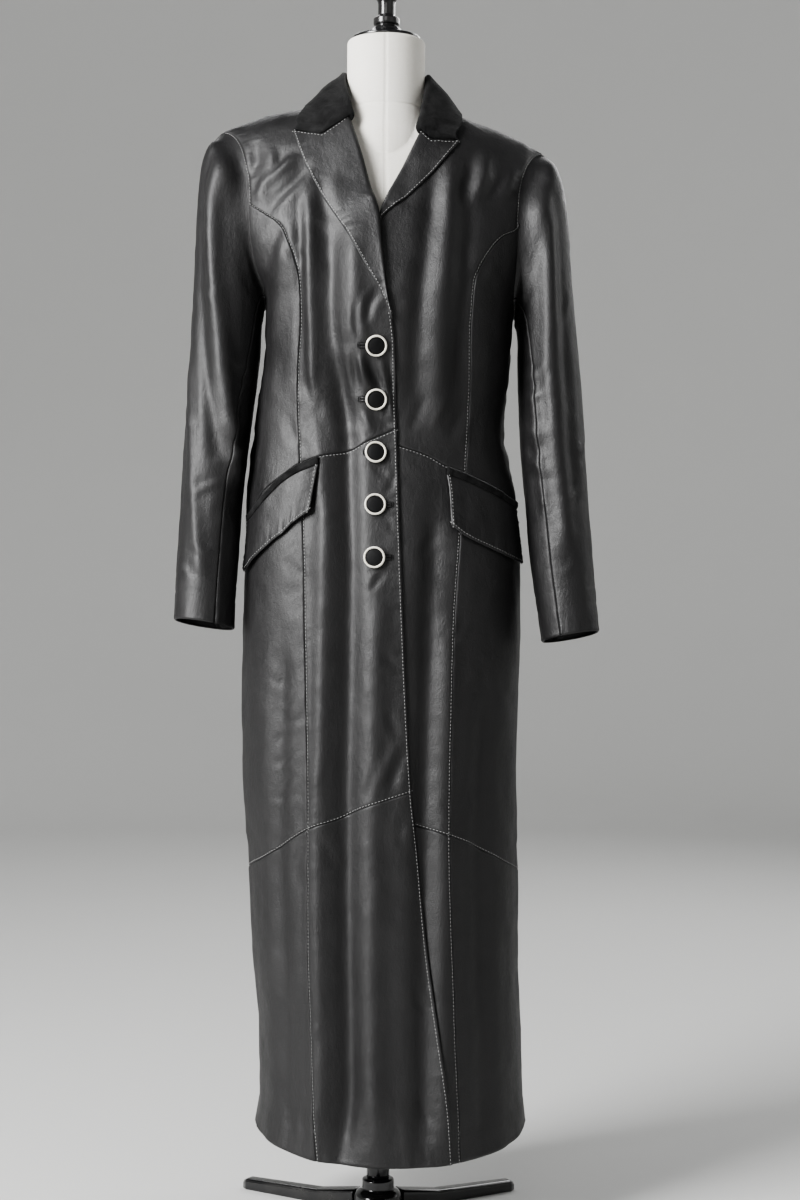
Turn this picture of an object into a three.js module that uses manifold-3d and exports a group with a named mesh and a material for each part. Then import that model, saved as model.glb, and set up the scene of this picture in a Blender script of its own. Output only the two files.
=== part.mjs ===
// A long leather coat, buttoned, on a limbless dress form with a tripod stand.
// Millimetres, +Z up. The coat faces -Y and the wearer's right is at -X.
// The origin is on the floor, under the post. Right and left are the wearer's.

import * as THREE from 'three';
import { mergeVertices } from 'three/addons/utils/BufferGeometryUtils.js';
import Module from 'manifold-3d';

// Cloth, seams and layers
const clothThickness = 2;
const seamGap = 0.3;
const layerGap = 0.9;
const lapelThickness = 2;
const frontOverlapLift = 3.8;
const lapelCrossingLift = 2.6;

// The body of the coat: side edges and depths in front of and behind the post, by height
const bodySections = [
  { z: 60, xMin: -167, xMax: 200, front: 178, back: 147 },
  { z: 115, xMin: -166, xMax: 198, front: 176, back: 145 },
  { z: 176, xMin: -160, xMax: 193, front: 171, back: 141 },
  { z: 249, xMin: -160, xMax: 189, front: 166, back: 138 },
  { z: 342, xMin: -169, xMax: 185, front: 160, back: 135 },
  { z: 486, xMin: -176, xMax: 183, front: 152, back: 131 },
  { z: 603, xMin: -185, xMax: 182, front: 147, back: 130 },
  { z: 772, xMin: -188, xMax: 186, front: 140, back: 128 },
  { z: 870, xMin: -185, xMax: 185, front: 135, back: 125 },
  { z: 965, xMin: -183, xMax: 179, front: 122, back: 108 },
  { z: 1020, xMin: -178, xMax: 167, front: 115, back: 98 },
  { z: 1060, xMin: -173, xMax: 162, front: 112, back: 92 },
  { z: 1096, xMin: -169, xMax: 165, front: 115, back: 94 },
  { z: 1150, xMin: -161, xMax: 170, front: 127, back: 104 },
  { z: 1220, xMin: -160, xMax: 174, front: 135, back: 112 },
  { z: 1280, xMin: -186, xMax: 190, front: 123, back: 112 },
  { z: 1350, xMin: -212, xMax: 207, front: 100, back: 101 },
  { z: 1420, xMin: -221, xMax: 213, front: 80, back: 100 },
  { z: 1520, xMin: -222, xMax: 213, front: 68, back: 104 },
];
const bodyRoundness = 0.86;

// Height of the shoulder line across the body, and the rounding below it
const shoulderLine = [
  { x: -222, z: 1454 },
  { x: -167, z: 1475 },
  { x: -110, z: 1487 },
  { x: -75, z: 1493 },
  { x: 0, z: 1500 },
  { x: 75, z: 1487 },
  { x: 95, z: 1480 },
  { x: 144, z: 1462 },
  { x: 181, z: 1446 },
  { x: 213, z: 1428 },
];
const shoulderRounding = 95;

// Vertical seams and edges of each front, as x by height
const frontEdges = {
  right: [
    { z: 100, x: 96 },
    { z: 186, x: 88 },
    { z: 271, x: 77 },
    { z: 370, x: 64 },
    { z: 496, x: 51 },
    { z: 581, x: 41 },
    { z: 698, x: 33.6 },
    { z: 826, x: 27.5 },
    { z: 955, x: 22 },
    { z: 1083, x: 17 },
    { z: 1182, x: 12.5 },
    { z: 1212, x: 7 },
    { z: 1278, x: -1 },
    { z: 1340, x: -9 },
    { z: 1361, x: -16 },
    { z: 1416, x: -31 },
    { z: 1466, x: -46.6 },
  ],
  left: [
    { z: 100, x: 20 },
    { z: 400, x: -2 },
    { z: 700, x: -22 },
    { z: 955, x: -32 },
    { z: 1182, x: -34 },
    { z: 1250, x: -22 },
    { z: 1300, x: -14 },
    { z: 1337, x: -4 },
    { z: 1396, x: 24 },
    { z: 1446, x: 46.8 },
  ],
};
const princessSeams = {
  right: [
    { z: 100, x: -76 },
    { z: 250, x: -84 },
    { z: 398, x: -91 },
    { z: 530, x: -92 },
    { z: 698, x: -96.4 },
    { z: 910, x: -103 },
    { z: 1020, x: -109 },
    { z: 1087, x: -112 },
    { z: 1221, x: -112 },
    { z: 1257, x: -115 },
    { z: 1289, x: -124 },
    { z: 1320, x: -141 },
    { z: 1334, x: -160 },
    { z: 1342, x: -181 },
  ],
  left: [
    { z: 100, x: 107 },
    { z: 300, x: 97 },
    { z: 524, x: 89 },
    { z: 701, x: 91 },
    { z: 907, x: 101 },
    { z: 1009, x: 109.4 },
    { z: 1100, x: 113.6 },
    { z: 1201, x: 116 },
    { z: 1246, x: 121 },
    { z: 1281, x: 137 },
    { z: 1305, x: 156 },
    { z: 1319, x: 176 },
    { z: 1322, x: 190 },
  ],
};

// Horizontal seams, as height by x, on the front and on the back
const waistSeams = {
  right: [
    { x: -190, z: 900 },
    { x: -184, z: 923 },
    { x: -161, z: 964 },
    { x: -131, z: 988 },
    { x: -106, z: 1004 },
    { x: -75, z: 1013 },
    { x: -43, z: 1020 },
    { x: -17, z: 1032 },
    { x: 15, z: 1046 },
    { x: 40, z: 1056 },
  ],
  left: [
    { x: -50, z: 1050 },
    { x: 21, z: 1026 },
    { x: 60, z: 1013 },
    { x: 82, z: 1001 },
    { x: 111, z: 991 },
    { x: 148, z: 974 },
    { x: 176, z: 955 },
    { x: 186, z: 930 },
  ],
};
const kneeSeams = {
  right: [
    { x: -190, z: 466 },
    { x: -171, z: 476 },
    { x: -123, z: 510 },
    { x: -90, z: 531 },
    { x: -52, z: 545 },
    { x: -22, z: 559 },
    { x: 16, z: 572 },
    { x: 44, z: 581 },
    { x: 70, z: 588 },
  ],
  left: [
    { x: -20, z: 560 },
    { x: 51, z: 536 },
    { x: 88, z: 524 },
    { x: 128, z: 507 },
    { x: 181, z: 471 },
    { x: 190, z: 465 },
  ],
};
const backKneeHeight = { side: 465, centre: 442 };
const middleBackHeight = { waist: 940, armhole: 1215 };
const hemHeight = { front: 107, side: 128, back: 131 };

// Armholes, in side view
const armholes = {
  right: { top: 1454, bottom: 1216, halfDepth: 62, frontCorner: 84 },
  left: { top: 1428, bottom: 1205, halfDepth: 62, frontCorner: 84 },
};
const armholePoint = 1.2;
const sideSeamTurn = THREE.MathUtils.degToRad(93);

// Neckline of the coat body
const neckSideX = { right: -70, left: 70 };
const neckBackHeight = 1473;

// Main folds of the body: a positive depth is a trough, a negative one a ridge
const bodyFolds = [
  {
    face: 'front', depth: 9, width: 14,
    path: [[-46, 120], [-38, 200], [-40, 367], [-42, 530], [-41, 697], [-40, 850], [-44, 980], [-47, 1040]],
  },
  { face: 'front', depth: -5, width: 10, path: [[-72, 120], [-70, 200], [-74, 367], [-76, 530], [-72, 697], [-68, 960]] },
  { face: 'front', depth: 6, width: 14, path: [[-49, 1060], [-55, 1100], [-68, 1190], [-72, 1250], [-75, 1325]] },
  { face: 'front', depth: 3, width: 10, path: [[-98, 1235], [-104, 1280], [-104, 1325]] },
  { face: 'front', depth: -3, width: 9, path: [[-38, 1110], [-42, 1200], [-46, 1330]] },
  { face: 'front', depth: -5, width: 12, path: [[64, 1070], [70, 1180], [80, 1300], [84, 1390]] },
  { face: 'front', depth: 4.5, width: 9, path: [[44, 1090], [47, 1200], [56, 1300], [60, 1360]] },
  { face: 'front', depth: 4, width: 9, path: [[98, 1120], [102, 1220], [112, 1340]] },
  { face: 'front', depth: 6, width: 12, path: [[66, 130], [62, 320], [60, 520], [66, 760], [70, 930]] },
  { face: 'front', depth: 4, width: 11, path: [[140, 140], [134, 300], [130, 500], [136, 700]] },
  { face: 'front', depth: 4, width: 10, path: [[-118, 140], [-124, 320], [-130, 520], [-126, 760]] },
  { face: 'back', depth: 9, width: 14, path: [[-62, 130], [-58, 330], [-50, 560], [-40, 800], [-34, 980]] },
  { face: 'back', depth: 8, width: 13, path: [[74, 130], [66, 360], [56, 600], [44, 850], [40, 960]] },
  { face: 'back', depth: -5, width: 14, path: [[8, 130], [6, 400], [2, 700], [0, 900]] },
  { face: 'back', depth: 5, width: 11, path: [[-118, 140], [-114, 380], [-108, 640], [-100, 840]] },
  { face: 'back', depth: 5, width: 11, path: [[138, 140], [128, 400], [116, 660], [106, 860]] },
  { face: 'back', depth: 5, width: 10, path: [[-78, 1070], [-84, 1180], [-96, 1310]] },
  { face: 'back', depth: 5, width: 10, path: [[80, 1060], [86, 1170], [98, 1300]] },
];
const foldFade = 100;

// Sleeves, ring by ring from the shoulder to the cuff. A ring runs through an outer and an
// inner point, and bulges by its half depth to the front and to the back.
// Seam angles count from the outer side towards the front.
const sleeveRings = {
  right: [
    { outerX: -235, outerZ: 1442, innerX: -163, innerZ: 1208, y: 0, halfDepth: 63, front: 150, rear: 235 },
    { outerX: -246, outerZ: 1417, innerX: -163.5, innerZ: 1203, y: 0, halfDepth: 64, front: 150, rear: 237 },
    { outerX: -252, outerZ: 1370, innerX: -164.5, innerZ: 1196, y: -1, halfDepth: 64, front: 148, rear: 239 },
    { outerX: -255, outerZ: 1305, innerX: -165.5, innerZ: 1184, y: -2, halfDepth: 63, front: 146, rear: 240 },
    { outerX: -258, outerZ: 1225, innerX: -167, innerZ: 1156, y: -4, halfDepth: 62, front: 140, rear: 241 },
    { outerX: -262, outerZ: 1135, innerX: -172.5, innerZ: 1103, y: -8, halfDepth: 60, front: 130, rear: 242 },
    { outerX: -266, outerZ: 1048, innerX: -180, innerZ: 1035, y: -15, halfDepth: 57, front: 122, rear: 243 },
    { outerX: -270, outerZ: 960, innerX: -188, innerZ: 953, y: -26, halfDepth: 53, front: 118, rear: 244 },
    { outerX: -273, outerZ: 880, innerX: -192, innerZ: 873, y: -38, halfDepth: 50, front: 116, rear: 246 },
    { outerX: -275, outerZ: 797, innerX: -196, innerZ: 786, y: -51, halfDepth: 47, front: 115, rear: 248 },
  ],
  left: [
    { outerX: 227, outerZ: 1418, innerX: 176, innerZ: 1197, y: 0, halfDepth: 63, front: 140, rear: 235 },
    { outerX: 238, outerZ: 1393, innerX: 178, innerZ: 1192, y: 0, halfDepth: 64, front: 138, rear: 237 },
    { outerX: 245, outerZ: 1348, innerX: 179, innerZ: 1186, y: -1, halfDepth: 64, front: 135, rear: 239 },
    { outerX: 250, outerZ: 1288, innerX: 180, innerZ: 1175, y: -2, halfDepth: 63, front: 130, rear: 240 },
    { outerX: 256, outerZ: 1215, innerX: 180, innerZ: 1148, y: -4, halfDepth: 62, front: 122, rear: 241 },
    { outerX: 264, outerZ: 1130, innerX: 181, innerZ: 1098, y: -8, halfDepth: 60, front: 112, rear: 242 },
    { outerX: 270, outerZ: 1045, innerX: 184, innerZ: 1030, y: -15, halfDepth: 57, front: 104, rear: 243 },
    { outerX: 275, outerZ: 960, innerX: 191, innerZ: 948, y: -26, halfDepth: 53, front: 97, rear: 244 },
    { outerX: 280, outerZ: 880, innerX: 199, innerZ: 867, y: -38, halfDepth: 50, front: 94, rear: 246 },
    { outerX: 288, outerZ: 785, innerX: 213, innerZ: 772, y: -51, halfDepth: 47, front: 92, rear: 248 },
  ],
};
const cuffFrontRise = 5.5;
const sleeveRoundness = 0.92;
const sleeveHeadGap = { right: { out: 0.9, inward: 1.5 }, left: { out: 0.8, inward: 1 } };
const sleeveFolds = {
  right: [
    { depth: 5, width: 15, path: [[58, 1330], [64, 1290], [84, 1190], [105, 1094], [128, 1030], [146, 985]] },
    { depth: 4, width: 14, path: [[300, 1330], [296, 1200], [285, 1080], [272, 960]] },
    { depth: -3, width: 14, path: [[30, 1330], [42, 1230], [62, 1120], [80, 1020]] },
    { depth: 3.5, width: 13, path: [[20, 1120], [48, 1010], [74, 920], [86, 860]] },
  ],
  left: [
    { depth: 5, width: 14, path: [[74, 1310], [84, 1230], [90, 1120], [88, 1010], [84, 900]] },
    { depth: 4, width: 14, path: [[298, 1300], [292, 1180], [282, 1060], [270, 950]] },
    { depth: -3, width: 13, path: [[50, 1300], [58, 1200], [62, 1090], [60, 960]] },
    { depth: 3.5, width: 12, path: [[126, 1110], [118, 1020], [112, 940]] },
  ],
};
const sleeveFoldFade = 45;

// Lapels, as outlines on the front of the coat
const lapels = {
  right: {
    outerEdge: [[9.5, 1188], [1, 1212], [-25, 1258], [-51, 1305], [-86, 1361], [-110, 1410], [-123, 1447]],
    rollEdge: [[12, 1188], [7, 1212], [-1, 1278], [-9, 1340], [-16, 1361], [-31, 1416], [-46.6, 1465]],
    topEdge: [[-123, 1447], [-82.8, 1439], [-64, 1452], [-46.6, 1465]],
    rollStandOff: 3,
  },
  left: {
    outerEdge: [[-9, 1300], [-2, 1322], [33, 1354], [72, 1396], [99, 1432]],
    rollEdge: [[-13, 1300], [-4, 1337], [24, 1396], [46.8, 1445]],
    topEdge: [[46.8, 1445], [53, 1438], [61, 1431], [99, 1432]],
    rollStandOff: 1,
  },
};
const lapelRows = 9;
const lapelColumns = 5;

// Collar, section by section from the front end to the middle of the back. The stand runs
// from its foot on the neckline to the fold, and the fall from the fold to its edge.
// Foot and edge are x and height on the body, or x alone on the shoulder line. A foot on the
// back is its share of the way from the shoulder to the middle.
const collarSections = {
  right: [
    { foot: [-46.6, 1466], fold: [-46.5, -67, 1473], middle: [-83, -65, 1443], edge: [-117, 1450], face: 'front' },
    { foot: [-53, 1475], fold: [-50, -54, 1489], middle: [-84, -56, 1464], edge: [-118, 1462], face: 'front' },
    { foot: [-60.2, 1485], fold: [-55, -34, 1511], middle: [-87, -34, 1490], edge: [-117, 1477], face: 'front' },
    { foot: [-70], fold: [-58, -3, 1536], middle: [-86, -3, 1514], edge: [-113], face: 'front' },
    { foot: 0.34, fold: [-50, 38, 1542], middle: [-74, 48, 1514], edge: [-95, 1474], face: 'back' },
    { foot: 0.68, fold: [-28, 62, 1543], middle: [-40, 78, 1512], edge: [-52, 1462], face: 'back' },
    { foot: 1, fold: [0, 69, 1542], middle: [0, 87, 1510], edge: [0, 1456], face: 'back' },
  ],
  left: [
    { foot: [46.8, 1446], fold: [47.5, -71, 1453], middle: [61, -70, 1436], edge: [94, 1436.5], face: 'front' },
    { foot: [53, 1460], fold: [50, -58, 1475], middle: [70, -59, 1458], edge: [98, 1449], face: 'front' },
    { foot: [60.2, 1478], fold: [55, -36, 1503], middle: [80, -36, 1484], edge: [101, 1464], face: 'front' },
    { foot: [70], fold: [58, -3, 1534], middle: [81, -3, 1510], edge: [101], face: 'front' },
    { foot: 0.34, fold: [50, 38, 1541], middle: [71, 48, 1512], edge: [91, 1470], face: 'back' },
    { foot: 0.68, fold: [28, 62, 1542], middle: [40, 78, 1511], edge: [51, 1460], face: 'back' },
    { foot: 1, fold: [0, 69, 1542], middle: [0, 87, 1510], edge: [0, 1456], face: 'back' },
  ],
};
const collarFootRise = 2;
const collarThickness = 2.2;
const collarEdgeGap = 2.2;
const collarFoldWidth = 6;
const collarFoldDrop = 3;
const collarColumns = 18;

// Pocket flaps and welts, as outlines on the front of the coat
const pockets = {
  right: {
    top: [[-81, 1011], [-106, 1003], [-128, 990], [-155, 963], [-178, 938]],
    bottom: [[-91, 939], [-114, 924], [-127, 911], [-140, 901], [-158, 884], [-179, 862]],
  },
  left: {
    top: [[83, 1000], [114, 989], [154, 970], [176, 958]],
    bottom: [[87, 922], [103, 910], [140, 893], [180, 875]],
  },
};
const weltWidth = 11;
const flapStandOff = { top: 1.4, bottom: 3 };
const pocketColumns = 7;
const flapRows = 3;

// Buttons, on the right front
const buttonHeights = [1154, 1086, 1016, 948, 880];
const buttonX = -9;
const buttonRadius = 14;
const buttonRimWidth = 3.2;
const buttonThickness = 5;
const buttonShank = { radius: 4, length: 2 };
const buttonGap = 0.7;
const buttonSegments = 14;

// Dress form: its size as a share of the coat's, by height
const formSections = [
  { z: 700, width: 0.8, depth: 0.78 },
  { z: 780, width: 0.85, depth: 0.8 },
  { z: 870, width: 0.89, depth: 0.82 },
  { z: 965, width: 0.86, depth: 0.84 },
  { z: 1060, width: 0.78, depth: 0.86 },
  { z: 1150, width: 0.84, depth: 0.84 },
  { z: 1220, width: 0.88, depth: 0.86 },
  { z: 1350, width: 0.86, depth: 0.86 },
  { z: 1450, width: 0.88, depth: 0.8 },
  { z: 1560, width: 0.88, depth: 0.78 },
];
const formBottom = 780;
const formShoulderGap = 2.45;
const formColumns = 28;
const formRows = 14;
const formNeck = { halfWidth: 52.5, halfDepth: 51, y: -1, bottom: 1390, top: 1580, rounding: 5 };
const formNeckSegments = 32;

// Neck cap and knob: profile as radius and height above the neck
const neckCapProfile = [
  [0, 0.3], [46, 0.3], [46.5, 3], [44, 5], [31, 6.5], [29, 9], [22, 13], [19.5, 16], [14.5, 19.5],
  [17.5, 23], [17.5, 30], [14, 32.5], [11.5, 34.5], [11.5, 52], [14, 57], [19, 64], [21.5, 73],
  [19.5, 83], [13, 91], [6, 94.5], [0, 95],
];
const neckCapSegments = 16;

// Stand
const postRadius = 15.5;
const postBottom = 46.5;
const hubProfile = [[0, 0], [30, 0], [32, 4], [32, 24], [28, 29], [22, 32], [21.5, 45], [15.8, 46.5], [0, 46.5]];
const hubSegments = 24;
const legAngles = [30, 150, 270];
const leg = { start: 32.6, reach: 217, halfWidth: 13, rootHeight: 27, tipHeight: 15, tipHalfWidth: 10 };

// Grid counts
const skirtLowerRows = 7;
const skirtUpperRows = 9;
const bodiceRows = 7;
const armholeRows = 8;
const backArmholeRows = 12;
const centreColumns = 10;
const sideColumns = 7;
const backColumns = 9;
const upperSleeveColumns = 12;
const underSleeveColumns = 5;

const leather = { color: 0x17171a, roughness: 0.42, metalness: 0 };
const velvet = { color: 0x0b0b0d, roughness: 0.95, metalness: 0 };
const buttonCloth = { color: 0x101012, roughness: 0.8, metalness: 0 };
const ivory = { color: 0xd9d3c0, roughness: 0.35, metalness: 0 };
const formCloth = { color: 0xe9e4d8, roughness: 0.85, metalness: 0 };
const blackMetal = { color: 0x0d0d0f, roughness: 0.3, metalness: 0.6 };

const coatOnForm = new THREE.Group();

function addPiece(name, geometry, finish) {
  const mesh = new THREE.Mesh(geometry, new THREE.MeshStandardMaterial(finish));
  mesh.name = name;
  coatOnForm.add(mesh);
  return mesh;
}

// A smooth curve through a table's rows that never overshoots them
function smoothCurve(rows, key, column) {
  const sorted = [...rows].sort((a, b) => a[key] - b[key]);
  const at = sorted.map((row) => row[key]);
  const value = sorted.map((row) => row[column]);
  const last = at.length - 1;
  const rates = at.slice(1).map((end, i) => (value[i + 1] - value[i]) / (end - at[i]));
  const slopes = at.map((_, i) => {
    if (i === 0) return rates[0];
    if (i === last) return rates[last - 1];
    return rates[i - 1] * rates[i] <= 0 ? 0 : (2 * rates[i - 1] * rates[i]) / (rates[i - 1] + rates[i]);
  });
  return (wanted) => {
    if (wanted <= at[0]) return value[0];
    if (wanted >= at[last]) return value[last];
    const i = at.findIndex((end) => end > wanted) - 1;
    const span = at[i + 1] - at[i];
    const t = (wanted - at[i]) / span;
    const rise = t * t * (3 - 2 * t);
    const early = t * (1 - t) * (1 - t);
    const late = t * t * (t - 1);
    return value[i] + (value[i + 1] - value[i]) * rise + span * (slopes[i] * early + slopes[i + 1] * late);
  };
}

const body = {
  xMin: smoothCurve(bodySections, 'z', 'xMin'),
  xMax: smoothCurve(bodySections, 'z', 'xMax'),
  front: smoothCurve(bodySections, 'z', 'front'),
  back: smoothCurve(bodySections, 'z', 'back'),
  shoulder: smoothCurve(shoulderLine, 'x', 'z'),
};
const formScale = {
  width: smoothCurve(formSections, 'z', 'width'),
  depth: smoothCurve(formSections, 'z', 'depth'),
};
const frontEdge = {
  right: smoothCurve(frontEdges.right, 'z', 'x'),
  left: smoothCurve(frontEdges.left, 'z', 'x'),
};
const princess = {
  right: smoothCurve(princessSeams.right, 'z', 'x'),
  left: smoothCurve(princessSeams.left, 'z', 'x'),
};

function roundedPower(value, power) {
  return Math.sign(value) * Math.abs(value) ** power;
}

function bodyMiddle(z) {
  return (body.xMin(z) + body.xMax(z)) / 2;
}

function bodyHalfWidth(z) {
  return (body.xMax(z) - body.xMin(z)) / 2;
}

// A point of the coat's outer form. Turn is the angle around the post from the front middle
// towards the wearer's left, and rise is the height, running on over the shoulder.
function bodyForm(turn, rise, form = false) {
  let z = Math.min(rise, body.shoulder(0));
  let x = 0;
  let over = 1;
  for (let step = 0; step < 5; step++) {
    const share = form ? formScale.width(z) : 1;
    x = bodyMiddle(z) + share * bodyHalfWidth(z) * roundedPower(Math.sin(turn), bodyRoundness);
    const start = body.shoulder(x) - shoulderRounding;
    const lean = Math.max(0, (rise - start) / shoulderRounding);
    z = rise <= start ? rise : start + shoulderRounding * Math.sin(lean);
    over = Math.cos(lean);
  }
  const facing = Math.cos(turn);
  const depth = facing > 0 ? -body.front(z) : body.back(z);
  const share = form ? formScale.depth(z) : 1;
  return new THREE.Vector3(x, share * depth * Math.abs(facing) ** bodyRoundness * over, z);
}

function bodyNormal(turn, rise) {
  const turnStep = 0.02;
  const riseStep = 1;
  const across = bodyForm(turn + turnStep, rise).sub(bodyForm(turn - turnStep, rise));
  const up = bodyForm(turn, rise + riseStep).sub(bodyForm(turn, rise - riseStep));
  return across.cross(up).normalize();
}

function foldCurves(folds) {
  return folds.map((fold) => {
    const rows = fold.path.map(([across, height]) => ({ across, height }));
    const heights = rows.map((row) => row.height);
    const across = smoothCurve(rows, 'height', 'across');
    return { ...fold, across, low: Math.min(...heights), high: Math.max(...heights) };
  });
}

function foldStrength(fold, across, height, fade) {
  const below = THREE.MathUtils.smoothstep(height, fold.low - fade / 2, fold.low + fade / 2);
  const above = 1 - THREE.MathUtils.smoothstep(height, fold.high - fade / 2, fold.high + fade / 2);
  const away = (across - fold.across(height)) / fold.width;
  return fold.depth * below * above * Math.exp(-away * away);
}

const bodyFoldCurves = foldCurves(bodyFolds);

function foldDepth(point, turn) {
  const face = Math.cos(turn) > 0 ? 'front' : 'back';
  const nearSide = Math.abs(Math.cos(turn));
  const fold = bodyFoldCurves.filter((one) => one.face === face)
    .reduce((sum, one) => sum + foldStrength(one, point.x, point.z, foldFade), 0);
  return fold * THREE.MathUtils.smoothstep(nearSide, 0, 0.45);
}

// A point at a distance outside the coat's form, folds included
function bodyPoint(spot, out = 0) {
  const base = bodyForm(spot.turn, spot.rise);
  const normal = bodyNormal(spot.turn, spot.rise);
  return base.addScaledVector(normal, out - foldDepth(base, spot.turn));
}

function spotAt(x, z, face = 'front') {
  const reach = THREE.MathUtils.clamp((x - bodyMiddle(z)) / bodyHalfWidth(z), -1, 1);
  const frontTurn = Math.asin(roundedPower(reach, 1 / bodyRoundness));
  const backTurn = (x < bodyMiddle(z) ? -Math.PI : Math.PI) - frontTurn;
  const start = body.shoulder(x) - shoulderRounding;
  const lean = THREE.MathUtils.clamp((z - start) / shoulderRounding, 0, 1);
  return {
    turn: face === 'front' ? frontTurn : backTurn,
    rise: z <= start ? z : start + shoulderRounding * Math.asin(lean),
  };
}

function ridgeSpot(x, face) {
  const z = body.shoulder(x);
  return { ...spotAt(x, z, face), rise: z - shoulderRounding + (shoulderRounding * Math.PI) / 2 };
}

// A point of an armhole: the angle counts from the shoulder to the front, then down and round
function armholeSpot(side, angle) {
  const { top, bottom, halfDepth } = armholes[side];
  const z = (top + bottom) / 2 + ((top - bottom) / 2) * Math.cos(angle);
  const y = halfDepth * roundedPower(Math.sin(angle), armholePoint);
  const sign = side === 'right' ? -1 : 1;
  let reach = 1;
  let rise = z;
  for (let step = 0; step < 12; step++) {
    const x = bodyMiddle(z) + sign * bodyHalfWidth(z) * reach;
    const start = body.shoulder(x) - shoulderRounding;
    const lean = THREE.MathUtils.clamp((z - start) / shoulderRounding, 0, 1);
    rise = z <= start ? z : start + shoulderRounding * Math.asin(lean);
    const depth = (y > 0 ? body.front(z) : body.back(z)) * Math.cos(Math.max(0, Math.asin(lean)));
    const facing = Math.min(1, (Math.abs(y) / Math.max(depth, 1)) ** (1 / bodyRoundness));
    const aimed = Math.sqrt(1 - facing * facing) ** bodyRoundness;
    reach = reach + 0.5 * (aimed - reach);
  }
  const frontTurn = Math.asin(Math.min(1, reach) ** (1 / bodyRoundness));
  const turn = y >= 0 ? frontTurn : Math.PI - frontTurn;
  return { turn: sign * turn, rise };
}

// A point of the back neckline: the share counts from the shoulder to the middle
function backNeckSpot(side, share) {
  const start = ridgeSpot(neckSideX[side], 'back');
  const end = spotAt(bodyMiddle(neckBackHeight), neckBackHeight, 'back');
  return {
    turn: THREE.MathUtils.lerp(start.turn, side === 'right' ? -Math.PI : Math.PI, share),
    rise: THREE.MathUtils.lerp(start.rise, end.rise, Math.sin((share * Math.PI) / 2)),
  };
}

function armholeTip(side) {
  const x = side === 'right' ? body.xMin(armholes.right.top) : body.xMax(armholes.left.top);
  return ridgeSpot(x, 'front');
}

// Lists of spots along seams, all evenly spaced
function steps(count) {
  return Array.from({ length: count + 1 }, (_, i) => i / count);
}

function alongSeam(curve, fromZ, toZ, count) {
  return steps(count).map((t) => {
    const z = THREE.MathUtils.lerp(fromZ, toZ, t);
    return spotAt(curve(z), z);
  });
}

function alongTurn(turn, fromZ, toZ, count) {
  return steps(count).map((t) => ({ turn, rise: THREE.MathUtils.lerp(fromZ, toZ, t) }));
}

function alongArmhole(side, fromAngle, toAngle, count) {
  return steps(count).map((t) => {
    const angle = THREE.MathUtils.lerp(fromAngle, toAngle, t);
    return Math.abs(Math.sin(angle)) < 0.001 && Math.cos(angle) > 0 ? armholeTip(side) : armholeSpot(side, angle);
  });
}

function alongOutline(points, count) {
  const curve = new THREE.SplineCurve(points.map(([x, z]) => new THREE.Vector2(x, z)));
  return curve.getSpacedPoints(count).map((point) => spotAt(point.x, point.y));
}

function alongCorners(points, count, face) {
  const path = new THREE.CurvePath();
  for (let i = 1; i < points.length; i++) {
    path.add(new THREE.LineCurve(new THREE.Vector2(...points[i - 1]), new THREE.Vector2(...points[i])));
  }
  return path.getSpacedPoints(count).map((point) => spotAt(point.x, point.y, face));
}

// Height of a sideways seam at a turn, from a table of heights by x
function seamRise(height, turn, guess) {
  let z = guess;
  for (let step = 0; step < 8; step++) {
    z = height(bodyForm(turn, z).x);
  }
  return z;
}

function alongSideways(height, fromTurn, toTurn, count, guess) {
  return steps(count).map((t) => {
    const turn = THREE.MathUtils.lerp(fromTurn, toTurn, t);
    return { turn, rise: seamRise(height, turn, guess) };
  });
}

function seamCrossing(height, curve, guess) {
  let z = guess;
  for (let step = 0; step < 12; step++) {
    z = height(curve(z));
  }
  return z;
}

// A solid from loose lists, turned so that its faces point outwards
function solidGeometry(positions, faces) {
  const corner = (index) => new THREE.Vector3().fromArray(positions, 3 * index);
  let volume = 0;
  for (let i = 0; i < faces.length; i += 3) {
    volume += corner(faces[i]).dot(corner(faces[i + 1]).cross(corner(faces[i + 2])));
  }
  const geometry = new THREE.BufferGeometry();
  geometry.setAttribute('position', new THREE.Float32BufferAttribute(positions, 3));
  geometry.setIndex(volume > 0 ? faces : [...faces].reverse());
  geometry.computeVertexNormals();
  return geometry;
}

// Closed wall between two grids of points with the same counts
function wallGeometry(outer, inner) {
  const rows = outer.length;
  const columns = outer[0].length;
  const positions = [...outer.flat(), ...inner.flat()].flatMap((point) => [point.x, point.y, point.z]);
  const under = rows * columns;
  const at = (j, i) => j * columns + i;
  const faces = [];
  const quad = (a, b, c, d) => faces.push(a, b, c, a, c, d);
  for (let j = 0; j < rows - 1; j++) {
    for (let i = 0; i < columns - 1; i++) {
      quad(at(j, i), at(j, i + 1), at(j + 1, i + 1), at(j + 1, i));
      quad(under + at(j, i), under + at(j + 1, i), under + at(j + 1, i + 1), under + at(j, i + 1));
    }
  }
  const rim = (a, b) => quad(b, a, under + a, under + b);
  for (let i = 0; i < columns - 1; i++) {
    rim(at(0, i), at(0, i + 1));
    rim(at(rows - 1, i + 1), at(rows - 1, i));
  }
  for (let j = 0; j < rows - 1; j++) {
    rim(at(j + 1, 0), at(j, 0));
    rim(at(j, columns - 1), at(j + 1, columns - 1));
  }
  return solidGeometry(positions, faces);
}

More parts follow.
